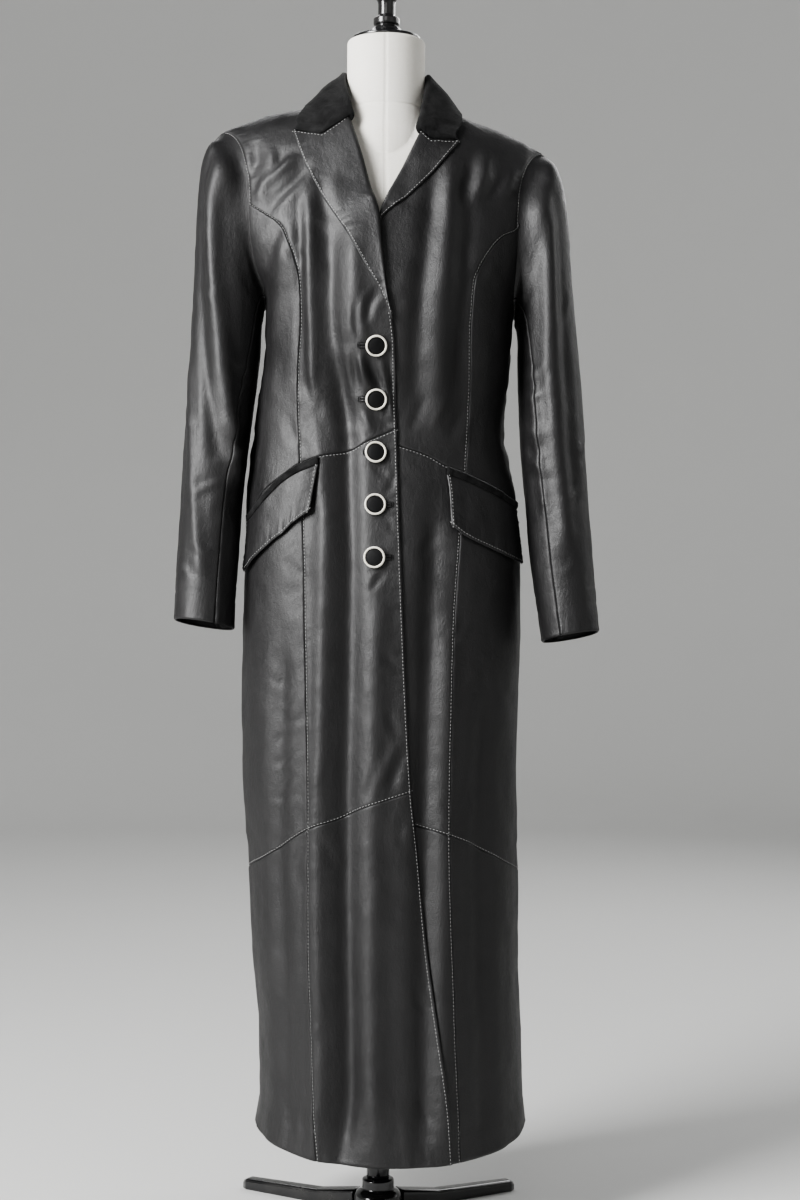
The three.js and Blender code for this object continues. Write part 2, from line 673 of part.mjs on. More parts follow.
// Draws each edge of a wall back from its seam by half the seam gap
function clearSeams(outer, inner) {
  const rows = outer.length;
  const columns = outer[0].length;
  const shifts = outer.map((row) => row.map(() => new THREE.Vector3()));
  const pull = (j, i, jIn, iIn, jA, iA, jB, iB) => {
    const inward = outer[jIn][iIn].clone().sub(outer[j][i]);
    const seam = outer[jB][iB].clone().sub(outer[jA][iA]).normalize();
    inward.addScaledVector(seam, -inward.dot(seam)).setLength(seamGap / 2);
    shifts[j][i].add(inward);
  };
  for (let j = 0; j < rows; j++) {
    const before = Math.max(0, j - 1);
    const after = Math.min(rows - 1, j + 1);
    pull(j, 0, j, 1, before, 0, after, 0);
    pull(j, columns - 1, j, columns - 2, before, columns - 1, after, columns - 1);
  }
  for (let i = 0; i < columns; i++) {
    const before = Math.max(0, i - 1);
    const after = Math.min(columns - 1, i + 1);
    pull(0, i, 1, i, 0, before, 0, after);
    pull(rows - 1, i, rows - 2, i, rows - 1, before, rows - 1, after);
  }
  shifts.forEach((row, j) => row.forEach((shift, i) => {
    outer[j][i].add(shift);
    inner[j][i].add(shift);
  }));
}

// Spots that fill the space between four edges
function fillSpots({ bottom, top, left, right }) {
  const columns = bottom.length - 1;
  const rows = left.length - 1;
  const blend = (key, i, j) => {
    const u = i / columns;
    const v = j / rows;
    const between = (1 - v) * bottom[i][key] + v * top[i][key] + (1 - u) * left[j][key] + u * right[j][key];
    const corners = (1 - v) * ((1 - u) * bottom[0][key] + u * bottom[columns][key])
      + v * ((1 - u) * top[0][key] + u * top[columns][key]);
    return between - corners;
  };
  return left.map((_, j) => bottom.map((__, i) => ({ turn: blend('turn', i, j), rise: blend('rise', i, j) })));
}

function flatOut() {
  return 0;
}

function makePanel(name, edges, finish, out = flatOut, thickness = clothThickness) {
  const spots = fillSpots(edges);
  const rows = spots.length - 1;
  const columns = spots[0].length - 1;
  const outer = spots.map((row, j) => row.map((spot, i) => bodyPoint(spot, out(spot, i / columns, j / rows))));
  const inner = spots.map((row, j) => row.map((spot, i) => {
    return bodyPoint(spot, out(spot, i / columns, j / rows) - thickness);
  }));
  clearSeams(outer, inner);
  return addPiece(name, wallGeometry(outer, inner), finish);
}

// The right front lies over the left one, and over the left lapel where they cross
function rightFrontLift(spot) {
  const point = bodyForm(spot.turn, spot.rise);
  const past = point.x - frontEdge.left(point.z);
  const overlap = THREE.MathUtils.smoothstep(past, -50, -12);
  const belowCrossing = 1 - THREE.MathUtils.smoothstep(point.z, 1345, 1375);
  const crossing = THREE.MathUtils.smoothstep(point.z, 1245, 1285) * belowCrossing;
  return overlap * belowCrossing * (frontOverlapLift + lapelCrossingLift * crossing);
}

function hemRise(turn) {
  const facing = Math.cos(turn);
  const end = facing > 0 ? hemHeight.front : hemHeight.back;
  return THREE.MathUtils.lerp(hemHeight.side, end, Math.abs(facing) ** 1.5);
}

function alongHem(fromTurn, toTurn, count) {
  return steps(count).map((t) => {
    const turn = THREE.MathUtils.lerp(fromTurn, toTurn, t);
    return { turn, rise: hemRise(turn) };
  });
}

function joined(first, second) {
  return [...first, ...second.slice(1)];
}

function reversed(list) {
  return [...list].reverse();
}

function coatSide(side) {
  const sign = side === 'right' ? -1 : 1;
  const seamTurn = sign * sideSeamTurn;
  const edgeCurve = frontEdge[side];
  const princessCurve = princess[side];
  const waist = smoothCurve(waistSeams[side], 'x', 'z');
  const knee = smoothCurve(kneeSeams[side], 'x', 'z');
  const out = side === 'right' ? rightFrontLift : flatOut;
  const corner = THREE.MathUtils.degToRad(armholes[side].frontCorner);
  const armpit = Math.PI * 1.02;

  const kneeAtEdge = seamCrossing(knee, edgeCurve, 560);
  const kneeAtPrincess = seamCrossing(knee, princessCurve, 520);
  const waistAtEdge = seamCrossing(waist, edgeCurve, 1040);
  const waistAtPrincess = seamCrossing(waist, princessCurve, 1000);
  const kneeAtSide = backKneeHeight.side;
  const waistAtSide = seamRise(waist, seamTurn, 920);
  const edgeTurn = (z) => spotAt(edgeCurve(z), z).turn;
  const princessTurn = (z) => spotAt(princessCurve(z), z).turn;

  // Lines between the pieces, all from the middle outwards or from the hem upwards
  const hemCentre = alongHem(edgeTurn(hemHeight.front), princessTurn(hemHeight.front), centreColumns);
  const hemAtPrincess = hemCentre[centreColumns].rise;
  const hemSide = alongHem(princessTurn(hemAtPrincess), seamTurn, sideColumns);
  const hemAtSide = hemSide[sideColumns].rise;
  const kneeCentre = alongSideways(knee, edgeTurn(kneeAtEdge), princessTurn(kneeAtPrincess), centreColumns, 540);
  const kneeSide = alongSideways(knee, princessTurn(kneeAtPrincess), seamTurn, sideColumns, 490);
  kneeSide[sideColumns] = { turn: seamTurn, rise: kneeAtSide };
  const waistCentre = alongSideways(waist, edgeTurn(waistAtEdge), princessTurn(waistAtPrincess), centreColumns, 1020);
  const waistSide = alongSideways(waist, princessTurn(waistAtPrincess), seamTurn, sideColumns, 960);
  waistSide[sideColumns] = { turn: seamTurn, rise: waistAtSide };

  const armholeCorner = armholeSpot(side, corner);
  const edgeLower = alongSeam(edgeCurve, hemCentre[0].rise, kneeAtEdge, skirtLowerRows);
  const edgeUpper = alongSeam(edgeCurve, kneeAtEdge, waistAtEdge, skirtUpperRows);
  const princessLower = alongSeam(princessCurve, hemAtPrincess, kneeAtPrincess, skirtLowerRows);
  const princessUpper = alongSeam(princessCurve, kneeAtPrincess, waistAtPrincess, skirtUpperRows);
  const princessTop = princessSeams[side][princessSeams[side].length - 1];
  const bodicePath = [[princessCurve(waistAtPrincess), waistAtPrincess]]
    .concat(princessSeams[side].filter((row) => row.z > waistAtPrincess + 5 && row !== princessTop)
      .map((row) => [row.x, row.z]));
  const cornerForm = bodyForm(armholeCorner.turn, armholeCorner.rise);
  const bodicePrincess = alongOutline([...bodicePath, [cornerForm.x, cornerForm.z]], bodiceRows);
  bodicePrincess[bodiceRows] = armholeCorner;
  const sideLower = alongTurn(seamTurn, hemAtSide, kneeAtSide, skirtLowerRows);
  const sideUpper = alongTurn(seamTurn, kneeAtSide, waistAtSide, skirtUpperRows);
  const armpitSpot = armholeSpot(side, armpit);
  const sideBodice = steps(bodiceRows).map((t) => ({
    turn: THREE.MathUtils.lerp(seamTurn, armpitSpot.turn, t * t),
    rise: THREE.MathUtils.lerp(waistAtSide, armpitSpot.rise, t),
  }));
  const armholeFront = alongArmhole(side, corner, 0, armholeRows);
  const armholeUnder = alongArmhole(side, corner, armpit, sideColumns);
  const armholeBack = alongArmhole(side, armpit, 2 * Math.PI, backArmholeRows);

  // The front edge and roll line, up to the side of the neck
  const edgeRows = frontEdges[side].filter((row) => row.z > waistAtEdge + 10).map((row) => [row.x, row.z]);
  const neckX = neckSideX[side];
  const gorge = edgeRows[edgeRows.length - 1];
  const neckPoint = [neckX * 0.86, body.shoulder(neckX) - 9];
  const rollPath = [[edgeCurve(waistAtEdge), waistAtEdge], ...edgeRows];
  const neckRows = 2;
  const rollLine = alongOutline(rollPath, bodiceRows + armholeRows - neckRows);
  const neckline = [spotAt(...neckPoint), ridgeSpot(neckX, 'front')];
  const bodiceEdge = [...rollLine.slice(0, -1), spotAt(...gorge), ...neckline];

  const shoulder = (face) => steps(centreColumns).map((t) => {
    const tip = side === 'right' ? body.xMin(armholes.right.top) : body.xMax(armholes.left.top);
    return ridgeSpot(THREE.MathUtils.lerp(neckX, tip, t), face);
  });
  const shoulderFront = shoulder('front');
  const bodiceOuter = joined(bodicePrincess, armholeFront);
  bodiceOuter[bodiceOuter.length - 1] = shoulderFront[centreColumns];

  // Pieces are laid out from low to high turn, so the right side runs from its seam inwards
  const place = (inside, outside) => (side === 'right' ? { left: outside, right: inside } : { left: inside, right: outside });
  const order = (line) => (side === 'right' ? reversed(line) : line);
  const addSidePiece = (name, low, high, inside, outside, lift) => {
    const edges = { bottom: order(low), top: order(high), ...place(inside, outside) };
    makePanel(`${name}_${side}`, edges, leather, lift);
  };
  addSidePiece('skirt_lower_front', hemCentre, kneeCentre, edgeLower, princessLower, out);
  addSidePiece('skirt_upper_front', kneeCentre, waistCentre, edgeUpper, princessUpper, out);
  addSidePiece('bodice_front', waistCentre, shoulderFront, bodiceEdge, bodiceOuter, out);
  addSidePiece('skirt_lower_side', hemSide, kneeSide, princessLower, sideLower);
  addSidePiece('skirt_upper_side', kneeSide, waistSide, princessUpper, sideUpper);
  addSidePiece('bodice_side', waistSide, armholeUnder, bodicePrincess, sideBodice);

  // The back, in turns from the side seam to the middle
  const middleTurn = sign * Math.PI;
  const hemBack = alongHem(seamTurn, middleTurn, backColumns);
  const kneeBack = steps(backColumns).map((t) => ({
    turn: THREE.MathUtils.lerp(seamTurn, middleTurn, t),
    rise: THREE.MathUtils.lerp(kneeAtSide, backKneeHeight.centre, t * t * (3 - 2 * t)),
  }));
  const middleLower = alongTurn(middleTurn, hemBack[backColumns].rise, backKneeHeight.centre, skirtLowerRows);
  const middleUpper = alongTurn(middleTurn, backKneeHeight.centre, middleBackHeight.waist, skirtUpperRows);
  const neckBack = spotAt(bodyMiddle(neckBackHeight), neckBackHeight, 'back');
  const middleBodice = alongTurn(middleTurn, middleBackHeight.waist, middleBackHeight.armhole, bodiceRows);
  const middleTop = alongTurn(middleTurn, middleBackHeight.armhole, neckBack.rise, backArmholeRows);
  const shoulderColumns = 6;
  const tipX = bodyForm(armholeTip(side).turn, armholeTip(side).rise).x;
  const shoulderBack = steps(shoulderColumns).map((t) => ridgeSpot(THREE.MathUtils.lerp(tipX, neckX, t), 'back'));
  const necklineBack = steps(backColumns - shoulderColumns).map((t) => backNeckSpot(side, t));
  const backTop = joined(shoulderBack, necklineBack);
  const backOuter = joined(joined(sideUpper, sideBodice), armholeBack);
  backOuter[backOuter.length - 1] = backTop[0];
  const backMiddle = joined(joined(middleUpper, middleBodice), middleTop);
  const backPlace = (outside, inside) => (side === 'right' ? { left: inside, right: outside } : { left: outside, right: inside });
  const addBackPiece = (name, low, high, outside, inside) => {
    const edges = { bottom: order(low), top: order(high), ...backPlace(outside, inside) };
    makePanel(`${name}_${side}`, edges, leather);
  };
  addBackPiece('back_lower', hemBack, kneeBack, sideLower, middleLower);
  addBackPiece('back_upper', kneeBack, backTop, backOuter, backMiddle);
}

coatSide('right');
coatSide('left');

// Normals of a grid of points, from each point's neighbours
function gridNormals(grid, closed) {
  const rows = grid.length;
  const columns = grid[0].length;
  return grid.map((row, j) => row.map((_, i) => {
    const next = closed ? (i + 1) % columns : Math.min(columns - 1, i + 1);
    const last = closed ? (i + columns - 1) % columns : Math.max(0, i - 1);
    const across = row[next].clone().sub(row[last]);
    const along = grid[Math.min(rows - 1, j + 1)][i].clone().sub(grid[Math.max(0, j - 1)][i]);
    return across.cross(along).normalize();
  }));
}

function offsetGrid(grid, normals, out) {
  return grid.map((row, j) => row.map((point, i) => point.clone().addScaledVector(normals[j][i], out)));
}

// The end of the sleeve, just inside its armhole and just outside the coat's body
function sleeveHeadPoint(side, angle) {
  const { top, bottom } = armholes[side];
  const gap = sleeveHeadGap[side];
  const atTip = Math.abs(Math.sin(angle)) < 0.001 && Math.cos(angle) > 0;
  const spot = atTip ? armholeTip(side) : armholeSpot(side, angle);
  const point = bodyPoint(spot, gap.out);
  const outward = ((side === 'right' ? -1 : 1) * (top - bottom)) / 2;
  const inward = new THREE.Vector3(outward, -point.y, (top + bottom) / 2 - point.z).setLength(gap.inward);
  return point.add(inward);
}

function makeSleeve(side) {
  const rings = sleeveRings[side];
  const folds = foldCurves(sleeveFolds[side]);
  const ringAngles = (ring) => {
    const upper = steps(upperSleeveColumns).map((t) => THREE.MathUtils.lerp(ring.rear - 360, ring.front, t));
    const under = steps(underSleeveColumns).map((t) => THREE.MathUtils.lerp(ring.front, ring.rear, t));
    return [...upper, ...under.slice(1, -1)];
  };
  const ringPoint = (ring, degrees) => {
    const angle = THREE.MathUtils.degToRad(degrees);
    const outer = new THREE.Vector3(ring.outerX, ring.y, ring.outerZ);
    const inner = new THREE.Vector3(ring.innerX, ring.y, ring.innerZ);
    const middle = outer.clone().add(inner).multiplyScalar(0.5);
    const across = outer.clone().sub(inner).multiplyScalar(0.5);
    const isCuff = ring === rings[rings.length - 1];
    const forward = new THREE.Vector3(0, -ring.halfDepth, isCuff ? cuffFrontRise : 0);
    const wrapped = ((degrees % 360) + 360) % 360;
    const depth = folds.reduce((sum, fold) => sum + foldStrength(fold, wrapped, middle.z, sleeveFoldFade), 0);
    const shrink = 1 - depth / ring.halfDepth;
    return middle.addScaledVector(across, roundedPower(Math.cos(angle), sleeveRoundness) * shrink)
      .addScaledVector(forward, roundedPower(Math.sin(angle), sleeveRoundness) * shrink);
  };
  const head = ringAngles(rings[0]).map((degrees) => sleeveHeadPoint(side, THREE.MathUtils.degToRad(degrees)));
  const outer = [head, ...rings.map((ring) => ringAngles(ring).map((degrees) => ringPoint(ring, degrees)))];
  const outward = side === 'right' ? -1 : 1;
  const normals = gridNormals(outer, true);
  const inner = offsetGrid(outer, normals, -outward * clothThickness);
  const underEnd = upperSleeveColumns + underSleeveColumns;
  const cut = (grid, from, to) => grid.map((row) => [...row, row[0]].slice(from, to + 1).map((point) => point.clone()));
  const addHalf = (name, from, to) => {
    const halfOuter = cut(outer, from, to);
    const halfInner = cut(inner, from, to);
    clearSeams(halfOuter, halfInner);
    addPiece(`${name}_${side}`, wallGeometry(halfOuter, halfInner), leather);
  };
  addHalf('sleeve_upper', 0, upperSleeveColumns);
  addHalf('sleeve_under', upperSleeveColumns, underEnd);
}

makeSleeve('right');
makeSleeve('left');

// Lapels lie on the fronts and stand off a little along the roll
function makeLapel(side) {
  const { outerEdge, rollEdge, topEdge, rollStandOff } = lapels[side];
  const outerLine = alongOutline(outerEdge, lapelRows);
  const rollLine = alongOutline(rollEdge, lapelRows);
  const isRight = side === 'right';
  const left = isRight ? outerLine : rollLine;
  const right = isRight ? rollLine : outerLine;
  const top = alongCorners(topEdge, lapelColumns, 'front');
  const bottom = steps(lapelColumns).map((t) => ({
    turn: THREE.MathUtils.lerp(left[0].turn, right[0].turn, t),
    rise: THREE.MathUtils.lerp(left[0].rise, right[0].rise, t),
  }));
  top[0] = left[lapelRows];
  top[lapelColumns] = right[lapelRows];
  const out = (spot, u) => {
    const toRoll = isRight ? u : 1 - u;
    const below = isRight ? rightFrontLift(spot) : 0;
    return below + layerGap + lapelThickness + rollStandOff * toRoll ** 3;
  };
  makePanel(`lapel_${side}`, { bottom, top, left, right }, leather, out, lapelThickness);
}

makeLapel('right');
makeLapel('left');

// Collar: a stand that rises from the neckline and a fall folded down over it
function makeCollar() {
  const sectionPoints = (side, { foot, fold, middle, edge, face }) => {
    const onBody = ([x, z]) => (z === undefined ? ridgeSpot(x, face) : spotAt(x, z, face));
    const foldPoint = new THREE.Vector3(...fold);
    const middlePoint = new THREE.Vector3(...middle);
    const footSpot = face === 'back' ? backNeckSpot(side, foot) : onBody(foot);
    const footPoint = bodyPoint(footSpot, -clothThickness / 2);
    footPoint.add(foldPoint.clone().sub(footPoint).setLength(collarFootRise));
    const edgePoint = bodyPoint(onBody(edge), collarThickness / 2 + collarEdgeGap);
    const outward = middlePoint.clone().sub(foldPoint).setZ(0).normalize();
    const inFold = foldPoint.clone().addScaledVector(outward, -collarFoldWidth / 2).setZ(foldPoint.z - collarFoldDrop);
    const outFold = foldPoint.clone().addScaledVector(outward, collarFoldWidth / 2).setZ(foldPoint.z - collarFoldDrop);
    const stand = footPoint.clone().lerp(inFold, 0.5);
    const upperFall = outFold.clone().lerp(middlePoint, 0.5);
    const lowerFall = middlePoint.clone().lerp(edgePoint, 0.5);
    return [footPoint, stand, inFold, foldPoint, outFold, upperFall, middlePoint, lowerFall, edgePoint];
  };
  const rightSections = collarSections.right.map((section) => sectionPoints('right', section));
  const leftSections = collarSections.left.slice(0, -1).reverse().map((section) => sectionPoints('left', section));
  const sections = [...rightSections, ...leftSections];
  const lines = sections[0].map((_, i) => new THREE.CatmullRomCurve3(sections.map((section) => section[i])));
  const grid = lines.map((line) => line.getPoints(collarColumns));
  const normals = gridNormals(grid, false);
  const outer = offsetGrid(grid, normals, collarThickness / 2);
  const inner = offsetGrid(grid, normals, -collarThickness / 2);
  addPiece('collar', wallGeometry(outer, inner), velvet);
}

makeCollar();

// Pocket flaps and the welts above them, on the hips
function makePocket(side) {
  const { top, bottom } = pockets[side];
  const order = (line) => (side === 'right' ? reversed(line) : line);
  const upper = order(alongOutline(top, pocketColumns));
  const weltEnd = order(alongOutline(top.map(([x, z]) => [x, z - weltWidth]), pocketColumns));
  const flapEnd = order(alongOutline(bottom, pocketColumns));
  const sideLine = (from, to, count) => steps(count).map((t) => ({
    turn: THREE.MathUtils.lerp(from.turn, to.turn, t),
    rise: THREE.MathUtils.lerp(from.rise, to.rise, t),
  }));
  const last = pocketColumns;
  const patch = (low, high, count) => ({
    bottom: low,
    top: high,
    left: sideLine(low[0], high[0], count),
    right: sideLine(low[last], high[last], count),
  });
  const weltOut = () => clothThickness + flapStandOff.top;
  const flapOut = (spot, u, v) => clothThickness + THREE.MathUtils.lerp(flapStandOff.bottom, flapStandOff.top, v);
  makePanel(`pocket_welt_${side}`, patch(weltEnd, upper, 1), velvet, weltOut);
  makePanel(`pocket_flap_${side}`, patch(flapEnd, weltEnd, flapRows), leather, flapOut);
}

makePocket('right');
makePocket('left');

// A round piece from a profile of radius and height, on its own axis
function turnedGeometry(profile, segments) {
  const geometry = new THREE.LatheGeometry(profile.map(([radius, height]) => new THREE.Vector2(radius, height)), segments);
  geometry.deleteAttribute('normal');
  geometry.deleteAttribute('uv');
  const merged = mergeVertices(geometry, 1e-4);
  const index = [...merged.index.array];
  const whole = [];
  for (let i = 0; i < index.length; i += 3) {
    const [a, b, c] = index.slice(i, i + 3);
    if (a !== b && b !== c && c !== a) {
      whole.push(a, b, c);
    }
  }
  return solidGeometry([...merged.attributes.position.array], whole);
}

// Buttons stand on the right front, each a covered face in a rim
const buttonFaceProfile = (() => {
  const faceRadius = buttonRadius - buttonRimWidth - seamGap;
  const { radius, length } = buttonShank;
  return [[0, 0], [radius, 0], [radius, length], [faceRadius - 1, length], [faceRadius, length + 1],
    [faceRadius, length + 2.4], [faceRadius * 0.6, length + 3.2], [0, length + 3.5]];
})();
const buttonRimProfile = (() => {
  const inside = buttonRadius - buttonRimWidth;
  const back = buttonShank.length - 0.2;
  const front = back + buttonThickness - 1;
  return [[inside, back], [buttonRadius - 1, back], [buttonRadius, back + 1.4], [buttonRadius, front - 1.2],
    [buttonRadius - 1.2, front], [inside + 0.6, front], [inside, front - 0.8], [inside, back]];
})();

buttonHeights.forEach((z, i) => {
  const spot = spotAt(buttonX, z);
  const lift = rightFrontLift(spot);
  const normal = bodyNormal(spot.turn, spot.rise);
  const seat = bodyPoint(spot, lift + buttonGap);
  const turn = new THREE.Quaternion().setFromUnitVectors(new THREE.Vector3(0, 1, 0), normal);
  const face = addPiece(`button_face_${i + 1}`, turnedGeometry(buttonFaceProfile, buttonSegments), buttonCloth);
  const rim = addPiece(`button_rim_${i + 1}`, turnedGeometry(buttonRimProfile, buttonSegments), ivory);
  [face, rim].forEach((piece) => {
    piece.position.copy(seat);
    piece.quaternion.copy(turn);
  });
});

// Dress form: a body inside the coat's form and a neck joined to it
const wasm = await Module();
wasm.setup();

function asManifold(geometry) {
  const bare = geometry.clone();
  bare.deleteAttribute('normal');
  bare.deleteAttribute('uv');
  const merged = mergeVertices(bare, 1e-4);
  const mesh = new wasm.Mesh({
    numProp: 3,
    vertProperties: merged.attributes.position.array,
    triVerts: new Uint32Array(merged.index.array),
  });
  return new wasm.Manifold(mesh);
}

function fromManifold(solid) {
  const { vertProperties, triVerts } = solid.getMesh();
  const geometry = new THREE.BufferGeometry();
  geometry.setAttribute('position', new THREE.Float32BufferAttribute(vertProperties, 3));
  geometry.setIndex([...triVerts]);
  geometry.computeVertexNormals();
  return geometry;
}

// Rings of the form from its bottom up to the shoulder line, where front and back meet
function formBodyGeometry() {
  const turns = steps(formColumns).slice(0, -1).map((t) => t * 2 * Math.PI - Math.PI / 2);
  const ridgeRise = (x) => body.shoulder(x) - shoulderRounding + (shoulderRounding * Math.PI) / 2;
  const rings = steps(formRows).map((share) => turns.map((turn) => {
    const top = ridgeRise(bodyForm(turn, ridgeRise(0), true).x);
    const point = bodyForm(turn, THREE.MathUtils.lerp(formBottom + formShoulderGap, top, share), true);
    point.z -= formShoulderGap;
    point.y = share === 1 ? 0 : point.y;
    return point;
  }));
  const count = turns.length;
  const faces = [];
  for (let j = 0; j < formRows; j++) {
    for (let i = 0; i < count; i++) {
      const next = (i + 1) % count;
      const [a, b, c, d] = [j * count + i, j * count + next, (j + 1) * count + next, (j + 1) * count + i];
      faces.push(a, b, c, a, c, d);
    }
  }
  const positions = rings.flat().flatMap((point) => [point.x, point.y, point.z]);
  const bottomMiddle = positions.length / 3;
  positions.push(0, 0, formBottom);
  for (let i = 0; i < count; i++) {
    faces.push(bottomMiddle, (i + 1) % count, i);
  }
  return solidGeometry(positions, faces);
}

function formNeckGeometry() {
  const { halfWidth, halfDepth, y, bottom, top, rounding } = formNeck;
  const profile = [[0, bottom], [1, bottom], [1, top - rounding]];
  [30, 60, 90].forEach((degrees) => {
    const angle = THREE.MathUtils.degToRad(degrees);
    const inset = (rounding * (1 - Math.cos(angle))) / halfWidth;
    profile.push([1 - inset, top - rounding + rounding * Math.sin(angle)]);
  });
  profile.push([0, top]);
  const geometry = turnedGeometry(profile, formNeckSegments);
  geometry.rotateX(Math.PI / 2);
  geometry.scale(halfWidth, halfDepth, 1);
  geometry.translate(0, y, 0);
  return geometry;
}

const formSolid = asManifold(formBodyGeometry()).add(asManifold(formNeckGeometry()));
addPiece('form_body', fromManifold(formSolid), formCloth);

function standPiece(name, profile, segments, z) {
  const piece = addPiece(name, turnedGeometry(profile, segments), blackMetal);
  piece.rotation.x = Math.PI / 2;
  piece.position.z = z;
  return piece;
}

const neckCap = standPiece('neck_cap', neckCapProfile, neckCapSegments, formNeck.top);
neckCap.position.y = formNeck.y;
const postLength = formBottom - 2 * seamGap - postBottom;
standPiece('post', [[0, 0], [postRadius, 0], [postRadius, postLength], [0, postLength]], 20, postBottom + seamGap);
standPiece('base_hub', hubProfile, hubSegments, 0);

// Three flat legs that taper to rounded ends and lie on the floor
legAngles.forEach((degrees, i) => {
  const { start, reach, halfWidth, rootHeight, tipHeight, tipHalfWidth } = leg;
  const sectionAt = (along, half, height) => [
    [along, -half, 0], [along, half, 0], [along, half, height - 3], [along, half - 3, height],
    [along, 3 - half, height], [along, -half, height - 3],
  ];
  const sections = [
    sectionAt(start, halfWidth, rootHeight),
    sectionAt(start + 60, halfWidth - 1.5, tipHeight + 3),
    sectionAt(reach - 8, tipHalfWidth, tipHeight),
    sectionAt(reach, tipHalfWidth - 5, tipHeight - 4),
  ];
  const positions = sections.flat(2);
  const faces = [];
  const size = 6;
  for (let j = 0; j < sections.length - 1; j++) {
    for (let k = 0; k < size; k++) {
      const next = (k + 1) % size;
      const [a, b, c, d] = [j * size + k, j * size + next, (j + 1) * size + next, (j + 1) * size + k];
      faces.push(a, c, b, a, d, c);
    }
  }
  const end = (sections.length - 1) * size;
  for (let k = 1; k < size - 1; k++) {
    faces.push(0, k, k + 1, end, end + k + 1, end + k);
  }
  const piece = addPiece(`base_leg_${i + 1}`, solidGeometry(positions, faces), blackMetal);
  piece.rotation.z = THREE.MathUtils.degToRad(degrees);
});

export default coatOnForm;
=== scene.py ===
# Looks of the long leather coat on its dress form and stand
import math

import bpy
import bmesh
import numpy as np
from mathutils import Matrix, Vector


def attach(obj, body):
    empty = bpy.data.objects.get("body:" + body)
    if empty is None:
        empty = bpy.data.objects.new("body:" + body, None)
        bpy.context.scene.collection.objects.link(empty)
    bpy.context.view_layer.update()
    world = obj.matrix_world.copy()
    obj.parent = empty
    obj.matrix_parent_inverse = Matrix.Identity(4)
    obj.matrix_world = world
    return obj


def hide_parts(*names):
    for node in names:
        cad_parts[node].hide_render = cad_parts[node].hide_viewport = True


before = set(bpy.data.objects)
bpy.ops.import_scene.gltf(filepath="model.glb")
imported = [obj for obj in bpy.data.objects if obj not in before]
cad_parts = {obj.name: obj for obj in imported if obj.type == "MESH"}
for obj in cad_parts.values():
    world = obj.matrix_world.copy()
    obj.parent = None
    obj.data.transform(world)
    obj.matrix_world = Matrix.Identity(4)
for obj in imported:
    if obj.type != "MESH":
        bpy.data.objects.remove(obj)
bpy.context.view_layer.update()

scene = bpy.context.scene
scene.view_settings.look = "AgX - Medium High Contrast"
millimetre = 0.001  # tables are in millimetres, meshes in metres
rightSide, leftSide = "right", "left"  # the wearer's own


# Camera, level and at the height of the hips
camera = {"place": (0.024, -2.75, 0.826), "lens": 61.05, "sensor": 36, "roll": -0.42}


def addCamera():
    data = bpy.data.cameras.new("camera")
    data.lens = camera["lens"]
    data.sensor_width = camera["sensor"]
    eye = bpy.data.objects.new("camera", data)
    scene.collection.objects.link(eye)
    eye.location = camera["place"]
    eye.rotation_euler = (math.radians(90), math.radians(camera["roll"]), 0)
    scene.camera = eye


addCamera()
print("camera placed")


# Curves, noise and grids

def lengthsAlong(points):
    # the way passed at each point of a line, from 0
    return np.concatenate([[0], np.cumsum(np.linalg.norm(np.diff(points, axis=0), axis=1))])


def stretchAt(at, place):
    return np.clip(np.searchsorted(at, place, side="right") - 1, 0, len(at) - 2)


def bentBetween(values, slope, i, t, span):
    # from one value to the next, leaving and arriving with their slopes
    rise = t * t * (3 - 2 * t)
    bend = slope[i] * t * (1 - t) ** 2 + slope[i + 1] * t * t * (t - 1)
    return values[i] + (values[i + 1] - values[i]) * rise + span * bend


def smoothCurve(rows, key=0, column=1):
    # a curve through the rows that never overshoots them
    table = np.array(sorted([(row[key], row[column]) for row in rows]), float)
    at, value = table[:, 0], table[:, 1]
    rate = np.diff(value) / np.diff(at)
    both = rate[:-1] * rate[1:]
    total = np.where(both > 0, rate[:-1] + rate[1:], 1)
    slope = np.concatenate([rate[:1], np.where(both > 0, 2 * both / total, 0), rate[-1:]])

    def curve(wanted):
        place = np.clip(wanted, at[0], at[-1])
        i = stretchAt(at, place)
        span = at[i + 1] - at[i]
        return bentBetween(value, slope, i, (place - at[i]) / span, span)

    return curve


def smoothLine(points):
    # an evenly walked smooth line through points, as a function of the share along it
    points = np.array(points, float)
    gaps = np.linalg.norm(np.diff(points, axis=0), axis=1)
    at = lengthsAlong(points)
    rates = np.diff(points, axis=0) / gaps[:, None]
    inner = (rates[:-1] * gaps[1:, None] + rates[1:] * gaps[:-1, None]) / (gaps[1:] + gaps[:-1])[:, None]
    slope = np.concatenate([rates[:1], inner, rates[-1:]])

    def raw(place):
        i = stretchAt(at, place)
        t = ((place - at[i]) / gaps[i])[:, None]
        return bentBetween(points, slope, i, t, gaps[i][:, None])

    fine = np.linspace(0, at[-1], 40 * len(gaps))
    passed = lengthsAlong(raw(fine))
    return lambda share: raw(np.interp(np.asarray(share) * passed[-1], passed, fine))


def throughRings(rings, shares):
    # smooth interpolation along the first axis of a stack of rings
    rings = np.array(rings, float)
    gaps = np.linalg.norm(np.diff(rings[..., :3], axis=0), axis=2).mean(axis=1)
    at = np.concatenate([[0], np.cumsum(gaps)])
    rates = np.diff(rings, axis=0) / gaps[:, None, None]
    weight = (gaps[1:] + gaps[:-1])[:, None, None]
    inner = (rates[:-1] * gaps[1:, None, None] + rates[1:] * gaps[:-1, None, None]) / weight
    slope = np.concatenate([rates[:1], inner, rates[-1:]])
    place = shares * at[-1]
    i = stretchAt(at, place)
    t = ((place - at[i]) / gaps[i])[:, None, None]
    return bentBetween(rings, slope, i, t, gaps[i][:, None, None])


def lerp(a, b, t):
    return a + (b - a) * t


